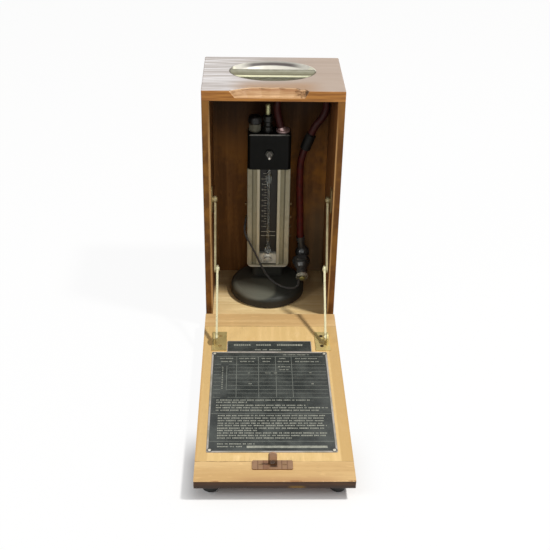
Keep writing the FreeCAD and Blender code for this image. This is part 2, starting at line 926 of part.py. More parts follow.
def gauge_base():
    """A low black round base with a rounded shoulder and a boss under the column, one casting."""
    r = base_radius
    flat = r - base_shoulder
    profile = outline(
        (0, 0), ((r - 1.5, 0),), ((r, 1.5),), ((r, base_rim_height),),
        ((r - base_shoulder * 0.3, base_height - 1.6), (flat, base_height)),
        ((base_crown_radius, base_height + base_crown_height),),
        ((0, base_height + base_crown_height),),
    )
    base = turned(profile, (instrument_x, base_back, base_z))
    boss_back = column_front + column_depth / 2
    boss = block(instrument_x - boss_width / 2, instrument_x + boss_width / 2,
                 boss_back - boss_depth / 2, boss_back + boss_depth / 2,
                 base_z + base_height / 2, column_z)
    boss = eased(boss, boss_radius, lambda e: runs_along(e, Z_AXIS))
    return base.fuse(boss).removeSplitter()


def base_pads():
    pads = []
    for angle in (90, 210, 330):
        x = instrument_x + base_pad_circle * math.cos(math.radians(angle))
        y = base_back + base_pad_circle * math.sin(math.radians(angle))
        pads.append(rod((x, y, floor_z), (0, 0, 1), base_pad_radius, base_pad_height))
    return group(pads)


def side_screw_places(side):
    y = column_front + column_depth / 2
    x = instrument_x + side * (column_width / 2 + side_screw_stand_off)
    return [(x, y, column_z + h) for h in side_screw_heights]


def column_frame():
    """A cast frame: raised outer rim, a channel each side and a deep pocket for the scale."""
    half = column_width / 2
    back = column_front + column_depth
    body = block(-half, half, column_front, back, column_z, column_top_z)
    body = eased(body, column_corner_radius, lambda e: runs_along(e, Y_AXIS) and (
        e.CenterOfMass.z < column_z + 0.01))
    body = eased(body, column_edge_radius, lambda e: e.CenterOfMass.y < column_front + 0.01 and (
        e.CenterOfMass.z < column_top_z - 0.01))
    pocket_half = scale_width / 2 + wood_clearance
    rib_outer = pocket_half + column_rib_width
    rim_inner = half - column_rim_width
    floor = column_z + column_rim_height
    for s in (-1, 1):
        channel = block(min(s * rib_outer, s * rim_inner), max(s * rib_outer, s * rim_inner),
                        column_front - 1, column_front + column_channel_depth,
                        floor, column_top_z + 1)
        channel = eased(channel, column_rib_width / 2, lambda e: runs_along(e, Y_AXIS) and (
            e.CenterOfMass.z < floor + 0.01))
        body = body.cut(channel)
        inset = block(min(s * pocket_half, s * rib_outer) - 0.01,
                      max(s * pocket_half, s * rib_outer) + 0.01,
                      column_front - 1, column_front + column_rib_set_back,
                      floor, column_top_z + 1)
        body = body.cut(inset)
    pocket = block(-pocket_half, pocket_half, column_front - 1,
                   column_front + scale_pocket_depth, floor - 1, column_top_z + 1)
    rail = block(-pocket_half - 1, pocket_half + 1, column_front + column_rib_set_back,
                 column_front + column_rib_set_back + window_rail_thickness,
                 column_top_z - window_rail_height, column_top_z)
    body = body.cut(pocket).fuse(rail).removeSplitter()
    body.translate(Vector(instrument_x, 0, 0))
    holes = [
        rod((x - s * side_screw_stand_off, y, z), (-s, 0, 0),
            side_screw_radius * 0.6, side_screw_depth)
        for s in (-1, 1) for x, y, z in side_screw_places(s)
    ]
    return cut_all(body, holes)


def side_screws():
    """Small cheese-headed screws along both edges of the column."""
    screws = []
    for s in (-1, 1):
        for x, y, z in side_screw_places(s):
            head = rod((x, y, z), (-s, 0, 0), side_screw_radius, side_screw_stand_off)
            shank = rod((x, y, z), (-s, 0, 0), side_screw_radius * 0.6,
                        side_screw_stand_off + side_screw_depth)
            screws.append(head.fuse(shank).removeSplitter())
    return group(screws)


def scale_plate():
    half = scale_width / 2
    return block(instrument_x - half, instrument_x + half, scale_face_y,
                 scale_face_y + scale_thickness, column_z + scale_start,
                 column_top_z - scale_end_gap)


def well_cover():
    """A pale cover with a shallow dome over the mercury well below the scale."""
    half = scale_width / 2
    z0 = column_z + column_rim_height
    face = column_front + column_rib_set_back + well_dome_height
    back = column_front + scale_pocket_depth
    cover = block(instrument_x - half, instrument_x + half, face, back, z0,
                  z0 + well_cover_height)
    dome_middle = z0 + well_cover_height / 2
    radius = (well_dome_radius ** 2 + well_dome_height ** 2) / (2 * well_dome_height)
    ball = Part.makeSphere(radius, Vector(instrument_x, face + radius - well_dome_height,
                                          dome_middle))
    cap = ball.common(block(instrument_x - half, instrument_x + half, face - 10, face,
                            z0, z0 + well_cover_height))
    return cover.fuse(cap).removeSplitter()


def glass_tube():
    """A straight tube with a drop-shaped well at its foot and a bulb near its top."""
    foot = column_z + scale_start
    height = column_top_z - foot
    bulb_low = height - tube_neck_height - bulb_height
    bulb_high = bulb_low + bulb_height
    bulb_mid = (bulb_low + bulb_high) / 2
    profile = outline(
        (0, 0), ((drop_foot_radius, 0),), ((drop_radius, 5), (drop_radius - 1.2, 10.5)),
        ((tube_radius, drop_height),), ((tube_radius, bulb_low),),
        ((bulb_radius - 1, bulb_low + 6),), ((bulb_radius, bulb_mid), (bulb_radius - 1, bulb_high - 6)),
        ((tube_radius, bulb_high),), ((tube_radius, height),), ((0, height),),
    )
    return turned(profile, (instrument_x, tube_y, foot))


# Instrument: head and what stands on it

def head_block():
    half = head_width / 2
    head = block(-half, half, head_front, head_front + head_depth, head_z, head_top_z)
    head = eased(head, head_edge_radius, lambda e: runs_along(e, Z_AXIS))
    rim = [e for e in head.Edges if abs(e.CenterOfMass.z - head_top_z) < 0.01]
    head = head.makeChamfer(head_top_chamfer, rim)
    head.translate(Vector(instrument_x, 0, 0))
    stem_hole = rod((instrument_x + gland_x, top_row_back, head_top_z + 1), (0, 0, -1),
                    knob_stem_radius + running_clearance, knob_stem_depth + 2)
    return head.cut(stem_hole)


def front_collar():
    """A hexagonal collar on the front of the head with a short round stem, turned in one."""
    z = head_z + collar_height_on_head
    corners = [
        Vector(front_collar_radius * math.cos(math.radians(60 * i)),
               front_collar_radius * math.sin(math.radians(60 * i)), 0)
        for i in range(6)
    ]
    collar = Part.Face(Part.makePolygon(corners + corners[:1])).extrude(
        Vector(0, 0, front_collar_thickness))
    return along(collar, (instrument_x, head_front, z), (0, -1, 0))


def front_stem():
    z = head_z + collar_height_on_head
    r = front_stem_radius
    profile = outline(
        (0, 0), ((r + 1, 0),), ((r + 1, 2),), ((r, 4),), ((r, front_stem_length - r),),
        ((r * 0.75, front_stem_length - r * 0.4), (r * 0.3, front_stem_length)),
        ((0, front_stem_length),),
    )
    return along(turned(profile), (instrument_x, head_front - front_collar_thickness, z),
                 (0, -1, 0))


def gland_nut():
    """The knurled nut that holds the stem of the vent knob in the head."""
    x = instrument_x + gland_x
    r = gland_radius
    profile = outline(
        (knob_stem_radius + running_clearance, 0), ((r - 1, 0),), ((r, 1),),
        ((r, gland_height - 1),), ((r - 1, gland_height),),
        ((knob_stem_radius + running_clearance, gland_height),),
    )
    nut = turned(profile)
    for i in range(gland_flutes):
        angle = 2 * math.pi * i / gland_flutes
        reach = r + gland_flute_depth
        nut = nut.cut(rod((reach * math.cos(angle), reach * math.sin(angle), 1.5), (0, 0, 1),
                          2 * gland_flute_depth, gland_height - 3))
    nut.translate(Vector(x, top_row_back, head_top_z))
    return nut


def vent_knob():
    """The black knob and its stem, which turn together in the gland nut."""
    x = instrument_x + gland_x
    low = head_top_z + gland_height + knob_lift
    r = knob_radius
    profile = outline(
        (0, 0), ((r - 1, 0),), ((r, 1),), ((r, knob_height - 4),),
        ((r - 1.2, knob_height - 1.2), (r - 4, knob_height)), ((0, knob_height),),
    )
    knob = turned(profile)
    flat_cuts = [
        rod(((r + 2.2) * math.cos(a), (r + 2.2) * math.sin(a), -1), (0, 0, 1), 3.0,
            knob_height + 2)
        for a in [math.radians(30 + 60 * i) for i in range(6)]
    ]
    knob = cut_all(knob, flat_cuts)
    knob.translate(Vector(x, top_row_back, low))
    stem = rod((x, top_row_back, head_top_z - knob_stem_depth), (0, 0, 1), knob_stem_radius,
               low - head_top_z + knob_stem_depth + 1)
    dot = rod((x, top_row_back - r * 0.55, low + knob_height - 0.5), (0, 0, 1),
              knob_dot_radius, 1.0)
    return knob.fuse([stem, dot]).removeSplitter()


def valve_body():
    x = instrument_x + valve_x
    r = valve_radius
    profile = outline(
        (0, 0), ((r, 0),), ((r, 8),), ((valve_waist_radius, 10),), ((valve_waist_radius, 15),),
        ((r, 17),), ((r, valve_height - 2),), ((r - 2, valve_height),), ((0, valve_height),),
    )
    return turned(profile, (x, top_row_back, head_top_z))


def valve_spindle():
    x = instrument_x + valve_x
    r = spindle_radius
    profile = outline(
        (0, 0), ((r, 0),), ((r, spindle_height - 1.5),), ((r - 1, spindle_height),),
        ((0, spindle_height),),
    )
    return turned(profile, (x, top_row_back, head_top_z + valve_height))


def hose_nipple():
    """A round flange with a short neck that leans towards the start of the hose."""
    start = Vector(*upper_hose_route[0])
    lean = Vector(*upper_hose_route[1]).sub(start)
    flange_top = Vector(nipple_x, start.y, head_top_z + nipple_flange_height)
    flange = rod((nipple_x, start.y, head_top_z), (0, 0, 1), nipple_flange_radius,
                 nipple_flange_height)
    low = Part.Wire(Part.makeCircle(nipple_neck_radius, flange_top, Z_AXIS))
    high = Part.Wire(Part.makeCircle(hose_radius, start, lean))
    return flange.fuse(Part.makeLoft([low, high], True)).removeSplitter()


# Hose, joiner and coupling

def hose_joiner():
    """The black sleeve that joins the two lengths of hose, laid between their ends."""
    start = Vector(*upper_hose_route[-1])
    end = Vector(*lower_hose_route[0])
    run = end.sub(start)
    r = joiner_radius
    profile = outline(
        (0, 0), ((r - 1.5, 0),), ((r, 1.5),), ((r, run.Length - 1.5),), ((r - 1.5, run.Length),),
        ((0, run.Length),),
    )
    return along(turned(profile), tuple(start), tuple(run))


def coupling_axis():
    axis = Vector(*coupling_end).sub(Vector(*coupling_start))
    return axis, axis.Length


def swivel_elbow():
    """A black moulded elbow: a round body with a neck up to the hose and one to the coupling."""
    ball = Part.makeSphere(elbow_ball_radius, Vector(*elbow_ball))
    top = Vector(*lower_hose_route[-1])
    into = Vector(*elbow_ball).sub(top)
    up_neck = Part.makeCone(hose_radius, elbow_neck_radius, into.Length, top, into)
    entry = top.sub(Vector(*lower_hose_route[-2]))
    entry.normalize()
    cap = rod(tuple(top), (entry.x, entry.y, entry.z), hose_radius, 6)
    axis, length = coupling_axis()
    axis.normalize()
    start = Vector(*coupling_start)
    to_nut = start.sub(Vector(*elbow_ball))
    front_neck = Part.makeCylinder(elbow_neck_radius, to_nut.Length, Vector(*elbow_ball), to_nut)
    above = Part.makeCylinder(4 * hose_radius, 20, top, Vector(entry).multiply(-1))
    elbow = ball.fuse([up_neck, cap, front_neck]).removeSplitter()
    nut_space = Part.makeCylinder(3 * elbow_neck_radius, 60, start, axis)
    return elbow.cut(above).cut(nut_space)


def hose_clip():
    """A wire-drawn metal clip round the lowest stretch of the hose."""
    end = Vector(*lower_hose_route[-1])
    before = Vector(*lower_hose_route[-2])
    run = end.sub(before)
    run.normalize()
    start = end.sub(Vector(run).multiply(clip_length))
    outer = Part.makeCylinder(hose_radius + clip_thickness, clip_length, start, run)
    inner = Part.makeCylinder(hose_radius, clip_length, start, run)
    return outer.cut(inner)


def coupling_nut():
    axis, length = coupling_axis()
    corners = [
        Vector(coupling_nut_radius * math.cos(math.radians(60 * i)),
               coupling_nut_radius * math.sin(math.radians(60 * i)), 0)
        for i in range(6)
    ]
    nut = Part.Face(Part.makePolygon(corners + corners[:1])).extrude(
        Vector(0, 0, coupling_nut_length))
    round_off = turned(outline(
        (0, 0), ((coupling_nut_radius - 1.6, 0),), ((coupling_nut_radius + 0.2, 1.6),),
        ((coupling_nut_radius + 0.2, coupling_nut_length - 1.6),),
        ((coupling_nut_radius - 1.6, coupling_nut_length),), ((0, coupling_nut_length),),
    ))
    return along(nut.common(round_off), coupling_start, tuple(axis))


def coupling_body():
    """The tapered barrel between the nut and the end ring, with its rounded tip."""
    axis, length = coupling_axis()
    start = coupling_nut_length
    ring_start = length - coupling_ring_length
    tip = length + coupling_tip_stand_out
    profile = outline(
        (0, start), ((coupling_neck_radius, start),), ((coupling_neck_radius, start + 4),),
        ((coupling_body_radius, start + 9),), ((coupling_body_radius, ring_start),),
        ((coupling_tip_radius, ring_start),), ((coupling_tip_radius, tip - coupling_tip_bevel),),
        ((coupling_tip_radius - coupling_tip_bevel, tip),), ((0, tip),),
    )
    return along(turned(profile), coupling_start, tuple(axis))


def coupling_ring():
    """The chromed end ring, notched round its edge for grip."""
    axis, length = coupling_axis()
    r = coupling_ring_radius
    profile = outline(
        (coupling_tip_radius, 0), ((r - 0.8, 0),), ((r, 0.8),),
        ((r, coupling_ring_length - 0.8),), ((r - 0.8, coupling_ring_length),),
        ((coupling_tip_radius, coupling_ring_length),),
    )
    ring = turned(profile)
    for i in range(coupling_ring_notches):
        angle = 2 * math.pi * i / coupling_ring_notches
        ring = ring.cut(rod((r * math.cos(angle), r * math.sin(angle), -1), (0, 0, 1),
                            coupling_notch_radius, coupling_ring_length + 2))
    heading = Vector(axis)
    heading.normalize()
    start = Vector(*coupling_start).add(heading.multiply(length - coupling_ring_length))
    return along(ring, tuple(start), tuple(axis))


# Cords

def cord_piece(name, points, radius):
    tube, length, tightest = tube_along(points, radius)
    even = math.pi * radius ** 2 * length
    print(f"{name}: length {length:.1f}, tightest radius {tightest:.1f}, "
          f"volume ratio {tube.Volume / even:.4f}")
    return tube


def both_hands(name, make):
    right = make()
    return {f"right_{name}": right, f"left_{name}": mirrored(right)}


def all_pieces():
    stay_screws = stay_wall_screw_places()
    pieces = {
        "case_top": case_top(),
        "case_bottom": case_bottom(),
        "case_back": case_back(),
        "case_feet": case_feet(),
        "handle_dish": handle_dish(),
        "handle_bar": handle_bar(),
        "hinge_case_leaves": hinge_case_leaves(),
        "hinge_door_leaves": hinge_door_leaves(),
        "hinge_pins": hinge_pins(),
        "hinge_case_screws": group([countersunk(p, (0, 1, 0)) for p in case_leaf_screw_places()]),
        "hinge_door_screws": group([countersunk(p, (0, 0, 1)) for p in door_leaf_screw_places()]),
        "door_panel": door_panel(),
        "door_hinge_batten": door_hinge_batten(),
        "door_free_batten": door_free_batten(),
        "door_feet": door_feet(),
        "title_plate": title_plate(),
        "instruction_plate": instruction_plate(),
        "plate_screws": group([plate_screw(p, (0, 0, -1)) for p in plate_screw_places()]),
        "lock_link_plate": lock_link_plate(),
        "lock_link_screws": group([countersunk(p, (0, 0, -1)) for p in link_screw_places()]),
        "bracket_screws": group([
            countersunk(p, (0, 0, -1)) for s in (-1, 1) for p in bracket_screw_places(s)]),
        "bracket_rivets": group([bracket_rivet(), mirrored(bracket_rivet())]),
        "stay_wall_screws": group(
            [countersunk(p, (1, 0, 0)) for p in stay_screws]
            + [mirrored(countersunk(p, (1, 0, 0))) for p in stay_screws]),
        "gauge_base": gauge_base(),
        "base_pads": base_pads(),
        "column_frame": column_frame(),
        "column_screws": side_screws(),
        "scale_plate": scale_plate(),
        "well_cover": well_cover(),
        "glass_tube": glass_tube(),
        "head_block": head_block(),
        "front_collar": front_collar(),
        "front_stem": front_stem(),
        "gland_nut": gland_nut(),
        "vent_knob": vent_knob(),
        "valve_body": valve_body(),
        "valve_spindle": valve_spindle(),
        "hose_nipple": hose_nipple(),
        "upper_hose": cord_piece("upper_hose", upper_hose_route, hose_radius),
        "hose_joiner": hose_joiner(),
        "lower_hose": cord_piece("lower_hose", lower_hose_route, hose_radius),
        "hose_clip": hose_clip(),
        "swivel_elbow": swivel_elbow(),
        "coupling_nut": coupling_nut(),
        "coupling_body": coupling_body(),
        "coupling_ring": coupling_ring(),
        "tie_cord": cord_piece("tie_cord", cord_route, cord_radius),
    }
    pieces["case_right_side"] = case_right_side()
    pieces["case_left_side"] = mirrored(pieces["case_right_side"])
    pieces.update(both_hands("stay_wall_plate", right_stay_wall_plate))
    pieces.update(both_hands("stay_bracket", right_stay_bracket))
    pieces.update(both_hands("stay_upper_arm", right_stay_upper_arm))
    pieces.update(both_hands("stay_lower_arm", right_stay_lower_arm))
    pieces.update(both_hands("stay_knee_rivet", right_stay_knee_rivet))
    return pieces


os.makedirs("parts", exist_ok=True)
for name, shape in all_pieces().items():
    shape = shape.copy()
    shape.translate(Vector(0, front_y, 0))
    if not shape.isValid():
        print(f"{name} is not valid")
    shape.exportStep(f"parts/{name}.step")
print(f"hinge axis y {hinge_y + front_y:.3f} z {hinge_z:.3f}, front_y {front_y:.3f}")
print(f"wall pivot {wall_pivot()}, bracket pivot {bracket_pivot()}, knee {knee()}")
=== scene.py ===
import math
import random

import bmesh
import bpy
from mathutils import Matrix, Vector


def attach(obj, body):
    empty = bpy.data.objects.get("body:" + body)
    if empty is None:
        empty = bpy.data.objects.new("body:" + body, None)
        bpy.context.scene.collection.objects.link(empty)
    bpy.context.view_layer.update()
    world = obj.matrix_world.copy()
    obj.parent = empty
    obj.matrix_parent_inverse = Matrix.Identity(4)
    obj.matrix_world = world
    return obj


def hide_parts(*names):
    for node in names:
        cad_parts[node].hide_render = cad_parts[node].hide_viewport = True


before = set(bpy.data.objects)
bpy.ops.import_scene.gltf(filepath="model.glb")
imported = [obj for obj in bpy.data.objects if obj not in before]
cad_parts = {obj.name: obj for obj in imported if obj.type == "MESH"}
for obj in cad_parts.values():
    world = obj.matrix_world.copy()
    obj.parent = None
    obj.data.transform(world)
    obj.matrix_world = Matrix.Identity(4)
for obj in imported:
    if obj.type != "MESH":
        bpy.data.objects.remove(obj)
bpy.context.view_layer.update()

MM = 0.001
FRONT = 0.11925  # the case front edge lies this far behind the row's origin


def at(x, y, z):
    """A point of the case frame in millimetres, as a point of the row frame in metres."""
    return Vector((x * MM, y * MM + FRONT, z * MM))


def new_object(name, data):
    piece = bpy.data.objects.new(name, data)
    bpy.context.scene.collection.objects.link(piece)
    return piece


# Camera at the photograph's angle, fitted to the corners of the case and of the drop front

CAMERA_TURN = (1.82, 31.33, 1.18)  # yaw, pitch and roll in degrees
CAMERA_PLACE = (-0.032, -1.12535, 0.853)
CAMERA_SHIFT = -0.0009
PICTURE_WIDTH = 550
FOCAL_LENGTH = 951.4  # in pixels of that width


def make_camera():
    yaw, pitch, roll = (math.radians(angle) for angle in CAMERA_TURN)
    forward = Vector((math.sin(yaw) * math.cos(pitch), math.cos(yaw) * math.cos(pitch),
                      -math.sin(pitch)))
    right = Vector((math.cos(yaw), -math.sin(yaw), 0))
    up = right.cross(forward)
    side = math.cos(roll) * right + math.sin(roll) * up
    top = -math.sin(roll) * right + math.cos(roll) * up
    data = bpy.data.cameras.new("camera")
    data.sensor_fit = "HORIZONTAL"
    data.angle = 2 * math.atan(PICTURE_WIDTH / 2 / FOCAL_LENGTH)
    data.shift_x = CAMERA_SHIFT
    camera = new_object("camera", data)
    turn = Matrix((side, top, -forward)).transposed().to_4x4()
    camera.matrix_world = Matrix.Translation(CAMERA_PLACE) @ turn
    bpy.context.scene.camera = camera


make_camera()


# Hoses and the tie cord, on the routes of the CAD source

HOSE_RADIUS = 0.0055
CORD_RADIUS = 0.0017
STRANDS = 3
STRAND_SHARE = 0.53  # of the cord's radius
TWIST_LENGTH = 0.0085
CORD_STEP = 0.0006
HOSE_STEP = 0.0015
HOSE_SIDES = 28
UPPER_HOSE = [
    (14.5, 97, 297), (9, 98.8, 315.5), (7, 102, 332.5), (13.2, 106, 348.5),
    (26, 109, 360), (43, 111, 364.8), (60, 111.3, 362), (74, 110.3, 353.2),
    (82.2, 108.8, 339.3), (83.4, 107.4, 323.3), (77.4, 106, 308.5), (65.9, 105, 296.5),
    (60.95, 105, 282.9),
]
LOWER_HOSE = [
    (51.95, 105, 258.1), (46.9, 105, 244.2), (45.6, 105.4, 222), (46.5, 106, 184),
    (48.5, 105.6, 144), (49, 105, 117), (50.5, 105, 98),
]
TIE_CORD = [
    (-38.4, 98, 141.2), (-39.4, 95.5, 133), (-41, 88.5, 126), (-38.5, 81.5, 118),
    (-33, 79, 108), (-26.5, 78.5, 95), (-20, 78, 80.5), (-12.5, 76, 64), (-4, 71, 50.5),
    (6, 62.5, 44.6), (16, 54, 42.8), (26, 48, 41.9), (35.5, 47, 41.2), (43, 50.5, 41.1),
    (47.41, 57.49, 43.19), (47.2, 64.9, 47.36),
]


def route_curve(name, points, radius):
    data = bpy.data.curves.new(name, "CURVE")
    data.dimensions = "3D"
    data.bevel_depth = radius
    data.bevel_resolution = 6
    data.resolution_u = 12
    data.use_fill_caps = True
    spline = data.splines.new("NURBS")
    spline.points.add(len(points) - 1)
    for target, point in zip(spline.points, points):
        target.co = (*at(*point), 1)
    spline.order_u = 3
    spline.use_endpoint_u = True
    return new_object(name, data)


def route_line(name, points):
    """The points of the smooth line that a route makes."""
    guide = route_curve(name, points, 0)
    bpy.context.view_layer.update()
    mesh = bpy.data.meshes.new_from_object(guide)
    line = [v.co.copy() for v in mesh.vertices]
    bpy.data.meshes.remove(mesh)
    data = guide.data
    bpy.data.objects.remove(guide)
    bpy.data.curves.remove(data)
    return line


def resampled(line, step):
    """The same line with even steps, for strands that wind round it."""
    out = [line[0]]
    need = step
    for a, b in zip(line, line[1:]):
        length = (b - a).length
        done = 0.0
        while length - done >= need:
            done += need
            out.append(a.lerp(b, done / length))
            need = step
        need -= length - done
    if (out[-1] - line[-1]).length > step * 0.3:
        out.append(line[-1])
    return out


def line_frames(line):
    """A direction and two cross directions at each point, without a sudden twist."""
    frames = []
    across = None
    for i, point in enumerate(line):
        ahead = (line[min(i + 1, len(line) - 1)] - line[max(i - 1, 0)]).normalized()
        if across is None:
            across = ahead.cross(Vector((0, 0, 1)))
            if across.length < 0.1:
                across = ahead.cross(Vector((1, 0, 0)))
        across = (across - ahead * across.dot(ahead)).normalized()
        frames.append((point, ahead, across, ahead.cross(across)))
    return frames


def tube_into(mesh, line, radius, sides=8):
    """Adds a closed round tube along a line to a bmesh; radius may be a function of 0..1."""
    rings = []
    frames = line_frames(line)
    for i, (point, ahead, across, up) in enumerate(frames):
        r = radius(i / (len(frames) - 1)) if callable(radius) else radius
        rings.append([mesh.verts.new(point + across * (r * math.cos(2 * math.pi * k / sides))
                                     + up * (r * math.sin(2 * math.pi * k / sides)))
                      for k in range(sides)])
    for a, b in zip(rings, rings[1:]):
        for k in range(sides):
            mesh.faces.new((a[k], a[(k + 1) % sides], b[(k + 1) % sides], b[k]))
    mesh.faces.new(list(reversed(rings[0])))
    mesh.faces.new(rings[-1])


def mesh_object(name, build, smooth=True):
    work = bmesh.new()
    build(work)
    bmesh.ops.recalc_face_normals(work, faces=work.faces)
    data = bpy.data.meshes.new(name)
    work.to_mesh(data)
    work.free()
    if smooth:
        data.shade_smooth()
    return new_object(name, data)


def twisted_cord(name, line, radius):
    fine = resampled(line, CORD_STEP)
    frames = line_frames(fine)
    strand_radius = radius * STRAND_SHARE
    offset = radius - strand_radius

    def build(work):
        for strand in range(STRANDS):
            path = []
            travelled = 0.0
            for i, (point, ahead, across, up) in enumerate(frames):
                if i:
                    travelled += (point - frames[i - 1][0]).length
                a = 2 * math.pi * (travelled / TWIST_LENGTH + strand / STRANDS)
                path.append(point + across * (offset * math.cos(a)) + up * (offset * math.sin(a)))
            tube_into(work, path, strand_radius)

    return mesh_object(name, build), fine


def hose_tube(name, points, radius):
    line = resampled(route_line(name + "_line", points), HOSE_STEP)
    return mesh_object(name, lambda work: tube_into(work, line, radius, HOSE_SIDES)), line


upper_hose, upper_path = hose_tube("rubber_hose_upper", UPPER_HOSE, HOSE_RADIUS)
lower_hose, lower_path = hose_tube("rubber_hose_lower", LOWER_HOSE, HOSE_RADIUS)
cord_line = route_line("tie_cord_line", TIE_CORD)
tie_cord, tie_path = twisted_cord("twisted_tie_cord", cord_line, CORD_RADIUS)
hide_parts("upper_hose")
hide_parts("lower_hose")
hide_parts("tie_cord")
for piece in (upper_hose, lower_hose, tie_cord):
    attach(piece, "case")


# Materials

class Shade:
    """A small helper round one material's node tree."""

    def __init__(self, name, rough, metal=0.0, **sockets):
        self.mat = bpy.data.materials.new(name)
        self.mat.use_nodes = True
        self.tree = self.mat.node_tree
        self.bsdf = self.tree.nodes["Principled BSDF"]
        self.bsdf.inputs["Roughness"].default_value = rough
        self.bsdf.inputs["Metallic"].default_value = metal
        for key, value in sockets.items():
            self.bsdf.inputs[key.replace("_", " ")].default_value = value
        self.coord = self.tree.nodes.new("ShaderNodeTexCoord").outputs["Object"]

    def link(self, source, target):
        self.tree.links.new(source, target)

    def put(self, socket, value):
        if isinstance(value, (int, float)):
            socket.default_value = value
        elif isinstance(value, (tuple, list)):
            socket.default_value = value if len(value) == len(socket.default_value) else (*value, 1)
        else:
            self.link(value, socket)

    def math(self, kind, a, b, clamp=False):
        node = self.tree.nodes.new("ShaderNodeMath")
        node.operation = kind
        node.use_clamp = clamp
        self.put(node.inputs[0], a)
        self.put(node.inputs[1], b)
        return node.outputs[0]

    def times(self, a, b):
        return self.math("MULTIPLY", a, b)

    def plus(self, a, b, clamp=False):
        return self.math("ADD", a, b, clamp)

    def minus(self, a, b):
        return self.math("SUBTRACT", a, b)

    def absolute(self, value):
        return self.math("ABSOLUTE", value, 0)

    def reach(self, a, b):
        """The distance that two offsets at right angles make together."""
        return self.math("POWER", self.plus(self.times(a, a), self.times(b, b)), 0.5)

    def mapping(self, scale=(1, 1, 1), shift=(0, 0, 0)):
        node = self.tree.nodes.new("ShaderNodeMapping")
        node.inputs["Scale"].default_value = scale
        node.inputs["Location"].default_value = shift
        self.link(self.coord, node.inputs["Vector"])
        return node.outputs[0]

    def noise(self, vector, scale, detail, rough=0.5, distortion=0.0):
        node = self.tree.nodes.new("ShaderNodeTexNoise")
        node.inputs["Scale"].default_value = scale
        node.inputs["Detail"].default_value = detail
        node.inputs["Roughness"].default_value = rough
        node.inputs["Distortion"].default_value = distortion
        self.link(vector, node.inputs["Vector"])
        return node.outputs["Fac"]

    def cells(self, vector, scale):
        node = self.tree.nodes.new("ShaderNodeTexVoronoi")
        node.inputs["Scale"].default_value = scale
        self.link(vector, node.inputs["Vector"])
        return node.outputs["Distance"]

    def ramp(self, value, low, high, out_low=0.0, out_high=1.0):
        """A smooth step from low to high."""
        node = self.tree.nodes.new("ShaderNodeMapRange")
        node.interpolation_type = "SMOOTHSTEP"
        self.put(node.inputs["Value"], value)
        node.inputs["From Min"].default_value = low
        node.inputs["From Max"].default_value = high
        node.inputs["To Min"].default_value = out_low
        node.inputs["To Max"].default_value = out_high
        return node.outputs[0]

    def mix(self, fac, a, b, kind="MIX"):
        node = self.tree.nodes.new("ShaderNodeMix")
        node.data_type = "RGBA"
        node.blend_type = kind
        self.put(node.inputs["Factor"], fac)
        self.put(node.inputs["A"], a)
        self.put(node.inputs["B"], b)
        return node.outputs["Result"]

    def over(self, base, mask, color, amount=1):
        """The base with a colour of 0 to 255 laid over it where the mask is 1."""
        if amount != 1:
            mask = self.times(mask, amount)
        return self.mix(mask, base, srgb(*color))

    def axes(self):
        node = self.tree.nodes.new("ShaderNodeSeparateXYZ")
        self.link(self.coord, node.inputs[0])
        return node.outputs

    def normal(self):
        geometry = self.tree.nodes.new("ShaderNodeNewGeometry")
        turn = self.tree.nodes.new("ShaderNodeVectorTransform")
        turn.vector_type = "NORMAL"
        turn.convert_from = "WORLD"
        turn.convert_to = "OBJECT"
        self.link(geometry.outputs["Normal"], turn.inputs[0])
        node = self.tree.nodes.new("ShaderNodeSeparateXYZ")
        self.link(turn.outputs[0], node.inputs[0])
        return node.outputs

    def inside(self, value, low, high, soft=0.0002):
        """1 where the value lies between low and high, with soft ends."""
        return self.times(self.ramp(value, low - soft, low + soft),
                          self.ramp(value, high + soft, high - soft))

    def along(self, start, end):
        """Distance from start towards end, in metres."""
        shift = self.tree.nodes.new("ShaderNodeVectorMath")
        shift.operation = "SUBTRACT"
        self.link(self.coord, shift.inputs[0])
        shift.inputs[1].default_value = start
        dot = self.tree.nodes.new("ShaderNodeVectorMath")
        dot.operation = "DOT_PRODUCT"
        self.link(shift.outputs[0], dot.inputs[0])
        dot.inputs[1].default_value = (Vector(end) - Vector(start)).normalized()
        return dot.outputs["Value"]

    def color(self, value):
        self.put(self.bsdf.inputs["Base Color"], value)

    def rough(self, value):
        self.put(self.bsdf.inputs["Roughness"], value)

    def bump(self, height, strength, distance):
        node = self.tree.nodes.new("ShaderNodeBump")
        node.inputs["Strength"].default_value = strength
        node.inputs["Distance"].default_value = distance
        self.put(node.inputs["Height"], height)
        self.link(node.outputs[0], self.bsdf.inputs["Normal"])

    def specular(self, level):
        self.bsdf.inputs["Specular IOR Level"].default_value = level


def srgb(r, g, b):
    """A colour written as it looks, 0 to 255, as linear values."""
    return tuple((v / 255 / 12.92) if v <= 10 else ((v / 255 + 0.055) / 1.055) ** 2.4
                 for v in (r, g, b))


